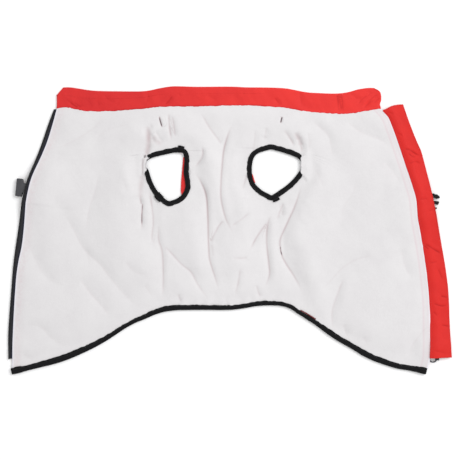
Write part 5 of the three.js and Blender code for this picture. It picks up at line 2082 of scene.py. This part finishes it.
@dataclass
class Belt:
    """The side-release buckle under the flanks, with a strap on each half."""

    workshop: Workshop
    edge: float = 0.5
    strap_edge: float = 0.35
    strap_flat: tuple = (0.02, 0.105)
    tips: tuple = (
        Tip(
            "buckle_plug_upper_tip",
            (
                (361.1, 66.3), (364.9, 66.5), (366.8, 66.7), (369.9, 65.0), (373.1, 64.7), (376.2, 62.3),
                (378.2, 59.5), (376.2, 58.0), (372.1, 57.1), (368.6, 58.6), (365.2, 60.9), (361.3, 62.0),
            ),
        ),
        Tip(
            "buckle_plug_tongue_tip",
            (
                (363.8, 53.0), (370.6, 53.2), (375.8, 52.1), (376.4, 49.7), (374.2, 46.1), (370.1, 47.8),
                (363.8, 48.7),
            ),
            1.6,
            4.4,
        ),
        Tip(
            "buckle_plug_lower_tip",
            ((366.3, 42.2), (371.7, 41.5), (372.8, 39.8), (370.8, 38.2), (366.7, 38.6)),
        ),
    )

    def build(self) -> None:
        """Builds both halves."""
        finishes = self.workshop.finishes
        for node, finish, slot in (
            ("buckle_socket", finishes.grey, Slot.GREY),
            ("buckle_plug", finishes.black, Slot.BLACK),
        ):
            piece = bevelled(self.workshop.shape(node), node + "_moulding", self.edge)
            self.workshop.finish(piece, finish, slot, [node])
        for tip in self.tips:
            piece = plate(tip.name, tip.outline, tip.low, tip.high, self.edge)
            self.workshop.finish(piece, finishes.black, Slot.BLACK)
        for node in ("strap_left", "strap_right"):
            piece = bevelled(self.workshop.shape(node), node + "_webbing", self.strap_edge, 2)
            self.workshop.finish(piece, finishes.webbing, Slot.WEBBING, [node])


# Studio


@dataclass(frozen=True)
class Lamp:
    """A square soft panel that shines at the coat: its place and size in m, and its power in W."""

    name: str
    place: tuple[float, float, float]
    size: float
    power: float


@dataclass
class Studio:
    """Table, camera over the photograph's centre and soft light."""

    workshop: Workshop
    lens: float = 100.0
    sensor: float = 36.0
    focus_height: float = 4.0
    table_size: float = 6.0
    table_drop: float = 0.05
    room_strength: float = 0.82
    lamps: tuple = (
        Lamp("key", (2.6, 1.6, 3.4), 2.6, 112.0),
        Lamp("fill", (-2.0, -1.2, 2.8), 2.6, 7.0),
    )

    def build(self) -> None:
        """Sets the scene."""
        scene = bpy.context.scene
        scene.view_settings.view_transform = "Standard"
        self._camera(scene)
        self._table()
        self._light(scene)

    def _camera(self, scene: bpy.types.Scene) -> None:
        """A camera that looks straight down, as the photograph does."""
        data = bpy.data.cameras.new("camera")
        data.lens = self.lens
        data.sensor_width = self.sensor
        distance = PHOTO_WIDTH * PHOTO_PIXEL * self.lens / self.sensor
        camera = linked("camera", data)
        camera.location = Vector((*PHOTO_CENTRE, distance + self.focus_height)) * MM
        scene.camera = camera

    def _table(self) -> None:
        """The pale surface under the coat."""
        half = self.table_size / 2 / MM
        corners = ((-half, -half), (half, -half), (half, half), (-half, half))
        points = np.array([(x, y, -self.table_drop) for x, y in corners])
        table = make_object("table", points, [(0, 1, 2, 3)])
        table.data.materials.append(self.workshop.finishes.table)

    def _light(self, scene: bpy.types.Scene) -> None:
        """Even light from the room and the soft panels."""
        world = bpy.data.worlds.new("room")
        world.use_nodes = True
        background = world.node_tree.nodes["Background"]
        background.inputs["Color"].default_value = (1.0, 1.0, 1.0, 1.0)
        background.inputs["Strength"].default_value = self.room_strength
        scene.world = world
        for lamp in self.lamps:
            data = bpy.data.lights.new(lamp.name, "AREA")
            data.size = lamp.size
            data.energy = lamp.power
            panel = linked(lamp.name, data)
            panel.location = lamp.place
            panel.rotation_euler = (-Vector(lamp.place)).to_track_quat("-Z", "Y").to_euler()


def main() -> None:
    """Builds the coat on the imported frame."""
    logging.basicConfig(level=logging.INFO, format="%(name)s %(message)s")
    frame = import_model()
    workshop = Workshop(frame, Wardrobe())
    Studio(workshop).build()
    lining = Lining(workshop)
    lining.build()
    Shell(workshop).build(lining)
    Zip(workshop).build()
    Bindings(workshop).build(lining)
    Facing(workshop).build()
    Collar(workshop).build()
    Placket(workshop).build()
    Belt(workshop).build()


if __name__ == "__main__":
    main()
